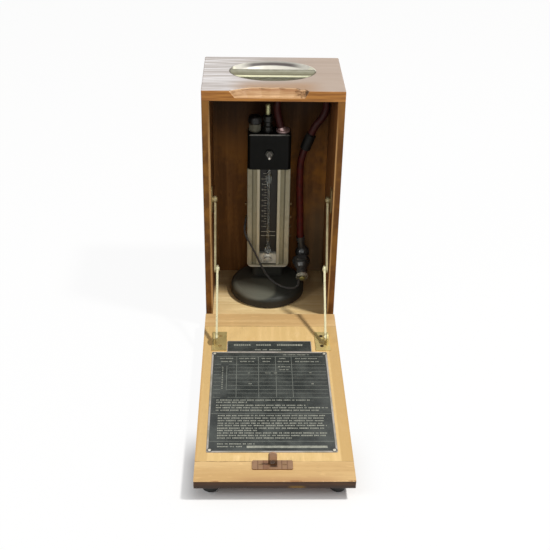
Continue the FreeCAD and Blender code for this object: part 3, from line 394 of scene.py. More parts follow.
def oak(name, light, dark, pore, grain, seed, rough, extra, ray=0.35, pore_amount=0.75, wave=0.6):
    """Oak with its grain along one axis: broad figure, fine fibre, long dark pores, pale rays."""
    light, dark, pore = srgb(*light), srgb(*dark), srgb(*pore)
    s = Shade(name, rough)
    s.specular(0.3)
    long = {"X": (0.055, 1, 1), "Y": (1, 0.055, 1), "Z": (1, 1, 0.055)}[grain]
    longer = tuple(v if v == 1 else 0.03 for v in long)
    middle = tuple(v if v == 1 else 0.14 for v in long)
    shift = (seed, seed * 1.7, seed * 0.6)
    warp = s.noise(s.mapping(long, shift), 14, 2)
    broad = s.noise(s.mapping(long, shift), 55, 4, 0.55, wave)
    fibre = s.noise(s.mapping(longer, shift), 900, 3, 0.6)
    blotch = s.noise(s.mapping((1, 1, 1), shift), 9, 3, 0.5)
    rings = s.noise(s.mapping(longer, shift), 130, 2, 0.5, wave * 0.7)
    pores = s.noise(s.mapping(long, shift), 1500, 1, 0.4)
    pore_mask = s.times(s.ramp(pores, 0.60, 0.72), s.ramp(rings, 0.35, 0.62, 0.25, 1))
    rays = s.ramp(s.noise(s.mapping(middle, shift), 420, 1, 0.3), 0.66, 0.76)
    figure = s.plus(s.times(broad, 0.6), s.times(rings, 0.4))
    base = s.mix(s.ramp(figure, 0.36, 0.64), dark, light)
    base = s.mix(s.times(s.ramp(fibre, 0.3, 0.75), 0.28), base, dark)
    base = s.mix(s.times(rays, ray), base, tuple(min(1, v * 1.3) for v in light))
    base = s.mix(s.times(pore_mask, pore_amount), base, pore)
    base = s.mix(s.times(s.ramp(blotch, 0.5, 0.75), 0.3), base, dark)
    base = s.mix(s.times(s.ramp(warp, 0.45, 0.8), 0.15), base, light)
    s.color(extra(s, base))
    uneven = s.plus(s.times(blotch, 0.6), s.times(fibre, 0.4))
    s.rough(s.ramp(uneven, 0.3, 0.7, rough - 0.07, rough + 0.13))
    s.bump(s.minus(s.times(fibre, 0.35), pore_mask), 0.35, 0.00018)
    return s.mat


def old_metal(name, color, dark, rough, metal, spots=0.5, grime=0.5, scale=1.0, extra=None):
    """Old metal: cloudy tarnish, small dark spots, uneven gloss and fine scratches."""
    color, dark = srgb(*color), srgb(*dark)
    s = Shade(name, rough, metal)
    cloud = s.noise(s.mapping(), 90 * scale, 4, 0.6)
    spot = s.cells(s.mapping(), 420 * scale)
    scratch = s.noise(s.mapping((1, 0.05, 0.4)), 1400 * scale, 2)
    base = s.mix(s.times(s.ramp(cloud, 0.4, 0.75), grime), color, dark)
    base = s.mix(s.times(s.ramp(spot, 0.16, 0.05), spots), base, dark)
    if extra:
        base = extra(s, base)
    s.color(base)
    s.rough(s.ramp(cloud, 0.3, 0.75, max(0.05, rough - 0.1), rough + 0.2))
    s.bump(s.plus(s.times(cloud, 0.6), s.times(scratch, 0.4)), 0.2, 0.0002)
    return s.mat


def enamel(name, color, dust, rough, dust_amount, scale, extra=None):
    """Paint or rubber with dust on its upper faces, uneven gloss and fine specks."""
    color, dust = srgb(*color), srgb(*dust)
    s = Shade(name, rough)
    cloud = s.noise(s.mapping(), 60 * scale, 4, 0.6)
    speck = s.noise(s.mapping(), 900 * scale, 2, 0.6)
    up = s.normal()[2]
    settle = s.times(s.ramp(up, 0.3, 1), s.ramp(cloud, 0.35, 0.7))
    base = s.mix(s.times(settle, dust_amount), color, dust)
    base = s.mix(s.times(s.ramp(speck, 0.66, 0.74), 0.5), base, dust)
    if extra:
        base = extra(s, base)
    s.color(base)
    s.rough(s.ramp(cloud, 0.3, 0.75, rough - 0.06, rough + 0.16))
    s.bump(s.plus(cloud, s.times(speck, 0.3)), 0.12, 0.0003)
    return s.mat


def smudge(s, scale, low, high):
    return s.ramp(s.noise(s.mapping((1, 1, 1), (3.1, 1.2, 0.4)), scale, 4, 0.6), low, high)


# Colours that change with the place: faces that met light and hands differ from the rest, and several
# marks below are painted light, shade and highlights

TOP_EDGE = 0.3896  # the upper rim of the torn place
TORN_FOOT = 0.3782
TORN_HALF = 0.0665
DISH_MIDDLE = FRONT + 0.083
DISH_HALF_WIDTH = 0.063
DISH_HALF_DEPTH = 0.043
DISH_BACK_EDGE = FRONT + 0.099


def torn_wood(s, base, x, y, z):
    """The bare wood of the torn place, with its pale rim and painted shade for the hole at its right
    end.
    """
    torn = s.times(s.ramp(z, 0.38945, 0.3890), s.ramp(y, FRONT + 0.0002, FRONT + 0.0010))
    torn = s.times(torn, s.inside(z, TORN_FOOT, TOP_EDGE))
    torn = s.times(torn, s.inside(x, -TORN_HALF, TORN_HALF))
    torn = s.times(torn, s.ramp(y, FRONT + 0.021, FRONT + 0.019))
    fibre = s.noise(s.mapping((0.05, 1, 1)), 260, 3, 0.6)
    wood = s.mix(s.ramp(fibre, 0.3, 0.7), srgb(164, 122, 82), srgb(192, 154, 112))
    upper = s.times(s.ramp(z, 0.3850, 0.3872), s.ramp(s.absolute(x), 0.045, 0.030))
    wood = s.over(wood, upper, (146, 98, 60), 0.6)
    wood = s.over(wood, s.inside(z, 0.3886, TOP_EDGE, 0.0003), (232, 200, 160), 0.6)
    wood = s.over(wood, s.inside(z, 0.3796, 0.3812, 0.0003), (226, 186, 140), 0.5)
    # Painted shade: the hole at the right end is only painted dark on the surface.
    hole = s.times(s.inside(x, 0.0440, 0.0500, 0.001),
                   s.inside(y, FRONT + 0.0005, FRONT + 0.0052, 0.001))
    wood = s.over(wood, hole, (64, 42, 26), 0.85)
    return s.mix(torn, base, wood)


def top_extra(s, base):
    x, y, z = s.axes()
    front = s.ramp(y, FRONT + 0.0012, FRONT + 0.0002)
    below = s.ramp(z, 0.3756, 0.3751)
    line = s.noise(s.mapping((0.035, 1, 1)), 330, 2, 0.5)
    band = s.noise(s.mapping((0.05, 1, 1), (0.4, 0.2, 0)), 90, 2, 0.5)
    left = s.ramp(x, 0.0, -0.07)
    base = s.over(base, s.ramp(x, -0.03, 0.08), (174, 150, 130), 0.6)
    base = s.over(base, s.times(left, s.ramp(line, 0.48, 0.60, 0.25, 0.9)), (228, 226, 228))
    base = s.over(base, s.times(s.times(left, 0.35), s.ramp(line, 0.44, 0.36)), (132, 126, 124))
    warm = s.times(s.inside(x, -0.05, 0.06, 0.02), s.ramp(y, FRONT + 0.050, FRONT + 0.018))
    base = s.over(base, warm, (164, 128, 94), 0.8)
    base = s.over(base, s.ramp(band, 0.5, 0.7), (150, 134, 122), 0.25)
    streak = s.noise(s.mapping((0.05, 1, 1)), 260, 3, 0.6)
    orange = s.mix(s.ramp(streak, 0.35, 0.65), srgb(140, 88, 36), srgb(182, 124, 58))
    nx, ny, nz = s.normal()
    edges = s.plus(s.ramp(ny, 0.5, 0.9), s.ramp(s.absolute(nx), 0.5, 0.9), True)
    base = s.mix(edges, base, s.mix(s.ramp(streak, 0.35, 0.65), srgb(112, 68, 30), srgb(146, 94, 44)))
    base = torn_wood(s, s.mix(front, base, orange), x, y, z)
    return s.over(base, below, (86, 54, 28))


def side_extra(s, base):
    x, y, z = s.axes()
    front = s.ramp(y, FRONT + 0.0016, FRONT + 0.0003)
    wear = smudge(s, 45, 0.4, 0.65)
    edge = s.mix(wear, srgb(96, 58, 14), srgb(128, 84, 24))
    edge = s.over(edge, s.ramp(z, 0.30, 0.36), (150, 104, 50), 0.5)
    edge = s.over(edge, s.ramp(z, 0.14, 0.03), (112, 62, 20), 0.4)
    # Painted highlight: a pale strip along the inner arris of each side's front face, below the top.
    painted_arris_light = s.inside(s.absolute(x), 0.0890, 0.0915, 0.0006)
    edge = s.over(edge, s.times(painted_arris_light, s.ramp(z, 0.37, 0.30)), (178, 136, 84))
    base = s.mix(s.times(front, 0.92), base, edge)
    # Painted light: the left side's inner face is paler near the front, where the light falls on it.
    inner = s.times(s.ramp(x, -0.0885, -0.0895), s.ramp(y, FRONT + 0.030, FRONT + 0.004))
    base = s.over(base, s.times(s.times(inner, s.ramp(x, -0.0915, -0.0905)), s.minus(1.0, front)),
                  (206, 166, 110))
    low = s.times(s.ramp(z, 0.05, 0.022), smudge(s, 80, 0.3, 0.6))
    return s.over(base, low, (48, 30, 16), 0.5)


def varnished(s, base, grain, ends=False):
    """The outside of the boards is darker than the inside: faces that look down or sideways."""
    nx, ny, nz = s.normal()
    outside = s.plus(s.ramp(nz, -0.4, -0.8), s.ramp(s.absolute(nx), 0.5, 0.9), True)
    if ends:
        outside = s.plus(outside, s.ramp(s.absolute(ny), 0.5, 0.9), True)
    streak = s.noise(s.mapping(grain), 70, 4, 0.6, 0.5)
    tint = s.mix(s.ramp(streak, 0.38, 0.62), (0.15, 0.08, 0.045), (0.30, 0.17, 0.10))
    return s.mix(outside, base, s.mix(1.0, base, tint, "MULTIPLY"))


def seam(s, base, place):
    x, y, z = s.axes()
    broken = s.noise(s.mapping((1, 0, 0)), 60, 3, 0.6)
    line = s.times(s.inside(y, FRONT + place - 0.0003, FRONT + place + 0.0003, 0.00015),
                   s.ramp(broken, 0.36, 0.55, 0.2, 0.8))
    line = s.times(line, s.ramp(x, 0.010, 0.030, 1, 0.4))
    return s.over(base, line, (112, 76, 42))


def panel_extra(s, base):
    x = s.axes()[0]
    end = s.ramp(s.absolute(x), 0.0965, 0.0998)
    base = s.over(base, end, (186, 120, 52), 0.4)
    scuff = s.times(smudge(s, 38, 0.55, 0.7), 0.25)
    base = s.over(base, scuff, (250, 222, 172))
    stain = s.times(smudge(s, 24, 0.58, 0.72), 0.25)
    base = s.over(base, stain, (206, 152, 84))
    margin = s.ramp(s.absolute(x), 0.0835, 0.0860)
    base = s.over(base, s.times(margin, s.ramp(x, -0.01, 0.01, 0.5, 0.8)), (198, 162, 104))
    base = seam(s, seam(s, base, -0.3463), -0.0472)
    return varnished(s, base, (1, 0.055, 1))


def batten_extra(s, base):
    x, y, z = s.axes()
    face = s.ramp(z, 0.0312, 0.0317)
    end = s.mix(s.ramp(x, -0.09, 0.0), srgb(66, 40, 18), srgb(62, 36, 20))
    end = s.over(end, s.ramp(x, 0.0, 0.09), (60, 38, 20))
    streak = s.noise(s.mapping((0.12, 1, 1), (0.3, 0, 0)), 150, 3, 0.6)
    end = s.over(end, s.ramp(streak, 0.45, 0.65), (92, 60, 30), 0.5)
    end = s.over(end, s.ramp(z, 0.0270, 0.0240), (44, 33, 26), 0.65)
    # Painted glint: an orange gleam on the free batten's front face.
    painted_glint = s.times(s.inside(x, 0.018, 0.036, 0.004), s.inside(z, 0.0215, 0.0250, 0.001))
    end = s.over(end, painted_glint, (136, 100, 24), 0.6)
    edge = s.ramp(y, -0.2626, -0.2630)
    base = s.mix(s.times(edge, s.minus(1.0, face)), base, end)
    worn = s.times(s.ramp(y, FRONT - 0.368, FRONT - 0.382), s.inside(x, -0.045, 0.075, 0.02))
    base = s.over(base, s.times(worn, face), (178, 136, 94), 0.7)
    chip = s.times(s.times(s.ramp(y, -0.2604, -0.2622), face), smudge(s, 60, 0.54, 0.60))
    base = s.over(base, chip, (150, 104, 62), 0.8)
    broken = s.noise(s.mapping((1, 0, 0), (0.7, 0, 0)), 130, 3, 0.6)
    bright = s.times(s.inside(y, -0.2629, -0.2622, 0.0003), s.ramp(broken, 0.56, 0.70))
    base = s.over(base, s.times(bright, face), (240, 212, 162))
    return varnished(s, seam(s, seam(s, base, -0.3467), -0.0468), (0.055, 1, 1))


def back_extra(s, base):
    x, y, z = s.axes()
    patch = smudge(s, 14, 0.42, 0.6)
    inner = s.ramp(s.normal()[1], -0.4, -0.8)
    outer = s.mix(0.5, base, srgb(84, 51, 25))
    # Painted light and shadow on the inner face: a warm pool of light at middle height, and the top
    # board's shadow darkening the upper part.
    middle = s.times(s.inside(z, 0.12, 0.28, 0.05), s.ramp(x, -0.10, 0.02, 0.5, 1))
    base = s.over(base, s.times(middle, patch), (184, 124, 52), 0.7)
    base = s.over(base, s.ramp(z, 0.20, 0.34), (34, 20, 8), 0.92)
    # Paler towards the lower right.
    paler_low_right = s.times(s.ramp(x, 0.04, 0.08), s.ramp(z, 0.20, 0.10))
    base = s.over(base, paler_low_right, (150, 134, 106), 0.5)
    return s.mix(inner, outer, base)


def floor_board_extra(s, base):
    x, y, z = s.axes()
    # Painted shadow: the floor board is darker further back, in the top board's shade, and towards the
    # right, in the right side's shadow.
    behind = s.ramp(y, FRONT + 0.050, FRONT + 0.088)
    base = s.over(base, behind, (150, 122, 82), 0.45)
    right = s.ramp(x, 0.035, 0.075)
    base = s.over(base, right, (150, 122, 82), 0.35)
    return varnished(s, base, (0.055, 1, 1), True)


def dish_extra(s, base):
    x, y, z = s.axes()
    across = s.times(x, 1 / DISH_HALF_WIDTH)
    back = s.times(s.minus(y, DISH_MIDDLE), 1 / DISH_HALF_DEPTH)
    reach = s.reach(across, back)
    off = s.absolute(x)
    # Painted light: the dish behind the bar is made pale, as lit.
    behind = s.ramp(y, DISH_BACK_EDGE, DISH_BACK_EDGE + 0.005)
    base = s.over(base, behind, (208, 205, 198), 0.8)
    # Painted shade: a dark crescent on the dish's far wall, thinning towards the ends.
    painted_crescent_shade = s.times(s.ramp(z, 0.3838, 0.3852), s.ramp(z, 0.3872, 0.3896, 1, 0.45))
    painted_crescent_shade = s.times(painted_crescent_shade, s.ramp(off, 0.052, 0.026))
    base = s.over(base, s.times(behind, painted_crescent_shade), (58, 48, 50), 0.92)
    # Painted shade at the bar's left end.
    end = s.times(s.ramp(x, -0.0560, -0.0590), s.inside(y, FRONT + 0.066, FRONT + 0.100, 0.002))
    base = s.over(base, end, (84, 74, 72), 0.8)
    rim = s.times(s.ramp(reach, 0.955, 0.975), s.ramp(y, FRONT + 0.088, FRONT + 0.078))
    return s.over(base, rim, (66, 58, 36))


def bar_extra(s, base):
    x, y, z = s.axes()
    # Painted light: the bar's front face is made near white.
    ahead = s.ramp(s.normal()[1], -0.4, -0.8)
    base = s.over(base, ahead, (240, 240, 215))
    # Painted shade: a dark line under the bar's front edge.
    line = s.times(s.inside(y, FRONT + 0.0736, FRONT + 0.0758, 0.0006), s.minus(1.0, ahead))
    base = s.over(base, line, (80, 74, 48), 0.75)
    # Painted shade at both ends of the bar.
    base = s.over(base, s.ramp(s.absolute(x), 0.0600, 0.0612), (60, 52, 40))
    # Painted highlight: a pale strip along the bar's top.
    light = s.inside(y, FRONT + 0.080, FRONT + 0.084, 0.001)
    base = s.over(base, light, (170, 168, 150), 0.4)
    # Painted highlight along the back of the bar.
    painted_crest_light = s.ramp(y, FRONT + 0.0925, FRONT + 0.0950)
    base = s.over(base, painted_crest_light, (206, 204, 194), 0.85)
    # Painted shade: a dark line on the bar's top towards its back.
    line = s.inside(y, FRONT + 0.0895, FRONT + 0.0915, 0.0006)
    return s.over(base, line, (96, 92, 74), 0.6)


LINK_MIDDLE = -0.0025
LINK_SCREW_PLACE = 0.015


def link_extra(s, base):
    x, y, z = s.axes()
    raised = s.ramp(z, 0.0345, 0.0360)
    base = s.over(base, raised, (178, 144, 118), 0.7)
    off = s.minus(x, LINK_MIDDLE)
    # Painted shade: the tongue's left side is darker, away from the light.
    left = s.times(s.ramp(off, -0.0034, -0.0046), raised)
    base = s.over(base, left, (104, 72, 24), 0.7)
    # Painted shade round the eye at the tongue's foot.
    low = s.times(s.ramp(z, 0.0430, 0.0405), raised)
    base = s.over(base, low, (46, 28, 18), 0.8)
    # Painted glint: a bright spot in the tongue's eye.
    spot = s.times(s.inside(off, -0.0022, 0.0004, 0.0006), s.inside(z, 0.0385, 0.0410, 0.0006))
    base = s.over(base, s.times(spot, raised), (232, 220, 200))
    # Painted shade on the plate behind the tongue, seen through its eye.
    behind = s.times(s.inside(x, -0.0060, 0.0035, 0.002), s.ramp(y, FRONT - 0.3600, FRONT - 0.3570))
    base = s.over(base, s.times(behind, s.minus(0.9, raised)), (50, 32, 22))
    side = s.absolute(off)
    ring = s.absolute(s.minus(side, LINK_SCREW_PLACE))
    base = s.over(base, s.inside(ring, 0.0028, 0.0042, 0.0005), (96, 66, 46), 0.6)
    # Painted shadow of the tongue on the plate, to its left.
    dark = s.times(s.inside(off, -0.0120, -0.0045, 0.002), s.minus(1.0, raised))
    base = s.over(base, dark, (120, 76, 56), 0.5)
    front = s.ramp(s.normal()[1], -0.5, -0.8)
    front = s.times(front, s.minus(0.8, s.times(raised, 0.8)))
    return s.over(base, front, (112, 74, 38))


def bracket_extra(s, base):
    return s.over(base, s.ramp(s.axes()[0], 0.0, -0.01, 0, 0.6), (168, 148, 96))


def bracket_screw_extra(s, base):
    """The screws are brass coloured on the left bracket and dark on the right one."""
    return s.over(base, s.ramp(s.axes()[0], -0.01, 0.01), (58, 44, 26))


def ring_extra(s, base):
    # Painted shade: the ring is darker on faces that don't look up.
    up = s.normal()[2]
    return s.over(base, s.ramp(up, 0.5, 0.1), (92, 88, 62), 0.8)


def tip_extra(s, base):
    reach = s.along(at(51.6, 95, 69), at(52.5, 63, 51))
    return s.over(base, s.ramp(reach, 0.0362, 0.0366), (160, 156, 96))


COLUMN_MIDDLE = -0.003
COLUMN_FRONT = FRONT + 0.085
WELL_SCREW_HEIGHT = 0.0700


def column_extra(s, base):
    x, y, z = s.axes()
    off = s.absolute(s.minus(x, COLUMN_MIDDLE))
    face = s.ramp(y, COLUMN_FRONT + 0.0012, COLUMN_FRONT + 0.0006)
    # Painted shade: the column is darker higher up, in the top board's shadow.
    base = s.over(base, s.ramp(z, 0.10, 0.22), (128, 122, 96), 0.5)
    groove = s.minus(1.0, face)
    # Painted shade and highlight in the channels beside the scale: dark lines, a darker middle, a pale
    # lip and a dark inner wall.
    painted_channel_line = s.times(groove, s.inside(off, 0.0238, 0.0272, 0.0004))
    base = s.over(base, painted_channel_line, (86, 80, 58), 0.65)
    middle = s.times(groove, s.inside(off, 0.0188, 0.0236, 0.0006))
    base = s.over(base, middle, (132, 126, 98), 0.5)
    lip = s.times(groove, s.inside(off, 0.0142, 0.0180, 0.0006))
    base = s.over(base, lip, (214, 208, 184), 0.7)
    wall = s.times(groove, s.ramp(off, 0.0140, 0.0134))
    base = s.over(base, wall, (70, 68, 56), 0.75)
    # Painted highlight: a bright line along the column's bottom front edge.
    foot = s.times(s.ramp(z, 0.0625, 0.0600), s.ramp(y, COLUMN_FRONT + 0.004, COLUMN_FRONT + 0.001))
    return s.over(base, foot, (248, 244, 226), 0.9)


def well_extra(s, base):
    x, y, z = s.axes()
    across = s.minus(x, COLUMN_MIDDLE)
    up = s.minus(z, WELL_SCREW_HEIGHT)
    reach = s.reach(across, up)
    # Painted reflection: a dark arc over the upper part of the dome.
    arc = s.times(s.inside(reach, 0.0052, 0.0068, 0.0005), s.ramp(up, 0.001, 0.003))
    base = s.over(base, arc, (62, 62, 56), 0.8)
    return s.over(base, smudge(s, 130, 0.5, 0.62), (120, 122, 110), 0.45)


def head_extra(s, base):
    x, y, z = s.axes()
    # Painted highlight: a pale line along the head's top front edge, stronger to the left.
    top = s.times(s.inside(z, 0.2894, 0.2911, 0.0003), s.ramp(y, FRONT + 0.0835, FRONT + 0.0828))
    top = s.times(top, s.ramp(x, 0.024, 0.012, 0.3, 1))
    return s.over(base, top, (206, 206, 198), 0.6)


# Middle and half size of the painted lit patch on the base's top
BASE_MIDDLE = (-0.026, FRONT + 0.049)
BASE_HALF = (0.036, 0.030)


def base_extra(s, base):
    x, y, z = s.axes()
    across = s.times(s.minus(x, BASE_MIDDLE[0]), 1 / BASE_HALF[0])
    back = s.times(s.minus(y, BASE_MIDDLE[1]), 1 / BASE_HALF[1])
    reach = s.math("POWER", s.plus(s.math("POWER", s.absolute(across), 3.0),
                                   s.math("POWER", s.absolute(back), 3.0)), 0.333)
    # Painted light: a lit patch on the front left of the base's top, made paler.
    worn = s.times(s.ramp(reach, 1.08, 0.86), s.ramp(z, 0.0330, 0.0370))
    base = s.over(base, worn, (104, 104, 92), 0.8)
    # Painted light: the left part of the base made paler.
    base = s.over(base, s.ramp(x, -0.01, -0.04, 0, 0.5), (96, 92, 80))
    return s.over(base, s.ramp(z, 0.0350, 0.0300), (50, 47, 42))


PORE = (84, 52, 26)

# Name, light, dark and pore colour, grain, shift of the pattern, roughness, what else colours it,
# and how strong the rays, the pores and the waves are
OAKS = {
    "top": ("oak_top", (182, 174, 168), (166, 156, 150), (124, 110, 100), "X", 0.3, 0.5, top_extra,
            0.1, 0.4, 0.05),
    "side": ("oak_side", (128, 82, 42), (84, 51, 25), (44, 26, 14), "Z", 1.1, 0.42, side_extra),
    "back": ("oak_back", (150, 104, 58), (104, 68, 36), (60, 36, 20), "Z", 2.3, 0.5, back_extra),
    "floor_board": ("oak_bottom", (242, 218, 168), (216, 186, 132), PORE, "X", 3.7, 0.42,
                    floor_board_extra, 0.3, 0.3),
    "panel": ("oak_panel", (232, 198, 140), (220, 186, 126), PORE, "Y", 4.9, 0.38, panel_extra, 0.3,
              0.2),
    "batten": ("oak_batten", (224, 190, 136), (200, 163, 110), PORE, "X", 6.2, 0.4, batten_extra, 0.3,
               0.25, 0.3),
}

# Name, light and dark colour, roughness, metal, spots, grime, scale, what else colours it
METALS = {
    "dish": ("dish_nickel", (236, 234, 214), (206, 204, 178), 0.5, 0.08, 0.2, 0.5, 1.0, dish_extra),
    "bar": ("bar_nickel", (130, 128, 106), (104, 101, 80), 0.42, 0.15, 0.2, 0.5, 1.0, bar_extra),
    "stay": ("stay_plating", (206, 200, 164), (160, 150, 110), 0.34, 0.5, 0.3),
    # A darker copy of the stay plating for the upper arms: painted shade.
    "stay_painted_shade": ("stay_plating_dull", (150, 140, 106), (102, 90, 58), 0.42, 0.5, 0.3),
    "bright_screw": ("bright_screws", (226, 222, 208), (150, 144, 126), 0.3, 0.4, 0.2),
    "brass": ("brass", (196, 162, 92), (104, 78, 38), 0.35, 0.9),
    "copper": ("worn_copper_plate", (158, 124, 96), (122, 90, 66), 0.42, 0.2, 0.35, 0.6, 1.0,
               link_extra),
    "link_screw": ("link_screws", (156, 124, 92), (92, 64, 40), 0.42, 0.3, 0.4),
    "steel": ("screw_steel", (188, 184, 172), (92, 84, 70), 0.36, 0.9, 0.4),
    "dark_screw": ("dark_screws", (110, 92, 62), (46, 36, 24), 0.45, 0.8),
    "bracket": ("bracket_brass", (220, 200, 136), (166, 142, 84), 0.38, 0.45, 0.4, 0.5, 1.0,
                bracket_extra),
    "bracket_screw": ("bracket_screws", (170, 142, 88), (104, 78, 42), 0.45, 0.3, 0.4, 0.5, 1.0,
                      bracket_screw_extra),
    "chrome": ("bright_ring", (226, 224, 206), (190, 187, 160), 0.24, 0.55, 0.0, 0.3, 0.6, ring_extra),
    "gun": ("dark_coupling", (74, 75, 74), (30, 29, 28), 0.3, 0.45, 0.3),
    "valve": ("valve_black", (26, 26, 22), (12, 12, 10), 0.34, 0.3, 0.3),
    "plate_steel": ("wall_plate_brass", (150, 134, 92), (90, 74, 44), 0.4, 0.6),
    "gland": ("gland_nickel", (100, 98, 84), (52, 50, 40), 0.4, 0.6),
    "spindle": ("spindle_brass", (186, 186, 140), (128, 124, 82), 0.34, 0.4),
    "flange": ("nipple_metal", (206, 176, 172), (112, 84, 80), 0.28, 0.5),
    "collar": ("collar_grey", (76, 76, 70), (42, 42, 38), 0.34, 0.6),
    "stem": ("stem_bright", (224, 222, 214), (150, 148, 138), 0.26, 0.4, 0.2),
    "coupling": ("coupling_barrel", (84, 84, 82), (34, 33, 32), 0.3, 0.45, 0.3, 0.5, 1.0, tip_extra),
    "column": ("pale_column", (180, 175, 152), (140, 134, 110), 0.4, 0.3, 0.2, 0.4, 1.0, column_extra),
    "well": ("pale_well", (240, 238, 224), (180, 178, 160), 0.35, 0.25, 0.2, 0.5, 1.0, well_extra),
}

# Name, colour, dust colour, roughness, dust, scale, what else colours it
ENAMELS = {
    "base": ("green_black_enamel", (50, 51, 46), (76, 75, 67), 0.55, 0.25, 0.6, base_extra),
    "head": ("head_black_paint", (10, 11, 9), (44, 43, 38), 0.4, 0.2, 1.4, head_extra),
    "knob": ("knob_black", (12, 12, 11), (60, 58, 52), 0.4, 0.15, 2.0),
    "rubber": ("black_rubber", (15, 13, 10), (70, 66, 58), 0.55, 0.4, 2.0),
    "feet": ("foot_rubber", (20, 19, 18), (92, 88, 80), 0.5, 0.3, 1.5),
    "strip": ("scale_black", (14, 14, 13), (70, 68, 62), 0.4, 0.2, 2.0),
}

# How strongly a material mirrors, where that was changed
GLOSS = {"base": 0.2, "back": 0.12, "side": 0.2, "head": 0.12, "rubber": 0.2}

mats = {}
for make, table in ((oak, OAKS), (old_metal, METALS), (enamel, ENAMELS)):
    for key, numbers in table.items():
        mats[key] = make(*numbers)
for key, level in GLOSS.items():
    bsdf = mats[key].node_tree.nodes["Principled BSDF"]
    bsdf.inputs["Specular IOR Level"].default_value = level


def red_rubber():
    s = Shade("red_rubber", 0.5)
    s.specular(0.25)
    cloud = s.noise(s.mapping(), 110, 4, 0.6)
    fine = s.noise(s.mapping(), 1600, 2, 0.6)
    base = s.mix(s.ramp(cloud, 0.35, 0.7), srgb(66, 13, 9), srgb(92, 22, 15))
    # Painted shade: the hose is darker higher up, in the top board's shadow.
    base = s.over(base, s.ramp(s.axes()[2], 0.17, 0.30, 0, 0.7), (36, 11, 9))
    bloom = s.times(s.ramp(fine, 0.5, 0.8), 0.12)
    s.color(s.over(base, bloom, (104, 66, 56)))
    s.rough(s.ramp(cloud, 0.3, 0.75, 0.5, 0.7))
    s.bump(s.plus(s.times(cloud, 0.6), s.times(fine, 0.4)), 0.3, 0.0002)
    return s.mat


def cord_thread():
    s = Shade("cord_thread", 0.4)
    s.bsdf.inputs["Sheen Weight"].default_value = 0.3
    cloud = s.noise(s.mapping(), 300, 3)
    fibre = s.noise(s.mapping(), 4200, 2)
    base = s.mix(s.ramp(cloud, 0.4, 0.7), srgb(34, 32, 30), srgb(62, 56, 50))
    s.color(s.over(base, s.ramp(fibre, 0.55, 0.75), (150, 142, 128), 0.5))
    s.rough(s.ramp(cloud, 0.3, 0.7, 0.3, 0.5))
    s.bump(fibre, 0.5, 0.0002)
    return s.mat


def plate_enamel(name, x0, x1, y0, y1, rim, rings):
    """Dark enamel with a bare metal rim; the plate's sides are at x0..x1 and y0..y1."""
    s = Shade(name, 0.34)
    x, y, z = s.axes()
    cloud = s.noise(s.mapping(), 40, 4, 0.6)
    rub = s.noise(s.mapping((1, 0.3, 1)), 700, 3, 0.6)
    base = s.mix(s.ramp(cloud, 0.35, 0.7), srgb(50, 54, 53), srgb(68, 72, 69))
    wear = s.times(s.ramp(rub, 0.6, 0.72), 0.35)
    base = s.over(base, wear, (118, 120, 110))
    low, high = at(x0, y0, 0), at(x1, y1, 0)
    body = s.times(s.inside(x, low.x + rim, high.x - rim, 0.0003),
                   s.inside(y, low.y + rim, high.y - rim, 0.0003))
    metal = s.mix(s.ramp(cloud, 0.4, 0.65), srgb(176, 170, 164), srgb(140, 136, 124))
    base = s.mix(body, metal, base)
    middle, half = (low + high) / 2, (high - low) / 2
    off_x = s.minus(s.absolute(s.minus(x, middle.x)), half.x - 0.004)
    off_y = s.minus(s.absolute(s.minus(y, middle.y)), half.y - 0.004)
    reach = s.reach(off_x, off_y)
    s.color(s.over(base, s.ramp(reach, 0.0042, 0.0034, 0, rings), (44, 46, 44)))
    s.rough(s.ramp(cloud, 0.3, 0.75, 0.3, 0.5))
    s.bump(s.plus(cloud, s.times(rub, 0.3)), 0.12, 0.0002)
    return s.mat


def print_paint(name, light, dull):
    s = Shade(name, 0.5)
    fade = s.noise(s.mapping(), 160, 3, 0.7)
    fine = s.noise(s.mapping(), 1500, 2, 0.7)
    mixed = s.plus(s.times(fade, 0.6), s.times(fine, 0.4))
    s.color(s.mix(s.ramp(mixed, 0.4, 0.62), dull, light))
    s.rough(s.ramp(fine, 0.3, 0.7, 0.4, 0.6))
    s.bump(fine, 0.1, 0.0001)
    return s.mat


def tube_glass():
    s = Shade("old_glass", 0.06, 0.0, Transmission_Weight=0.95, IOR=1.45)
    cloud = s.noise(s.mapping((1, 1, 0.3)), 240, 3, 0.6)
    s.color(s.mix(s.ramp(cloud, 0.4, 0.7), srgb(236, 240, 236), srgb(206, 210, 200)))
    s.rough(s.ramp(cloud, 0.35, 0.75, 0.02, 0.12))
    s.bump(cloud, 0.08, 0.0002)
    return s.mat


mats["hose"] = red_rubber()
mats["cord"] = cord_thread()
mats["title"] = plate_enamel("title_enamel", -64.5, 59.5, -114, -87, 0.0008, 0.0)
mats["plate"] = plate_enamel("instruction_enamel", -86.25, 81.25, -330.5, -114.5, 0.0024, 0.8)
mats["print"] = print_paint("plate_print", srgb(166, 167, 154), srgb(134, 136, 126))
mats["lines"] = print_paint("plate_lines", srgb(134, 138, 130), srgb(122, 125, 118))
mats["marks"] = print_paint("scale_print", srgb(190, 187, 170), srgb(150, 146, 132))
mats["glass"] = tube_glass()

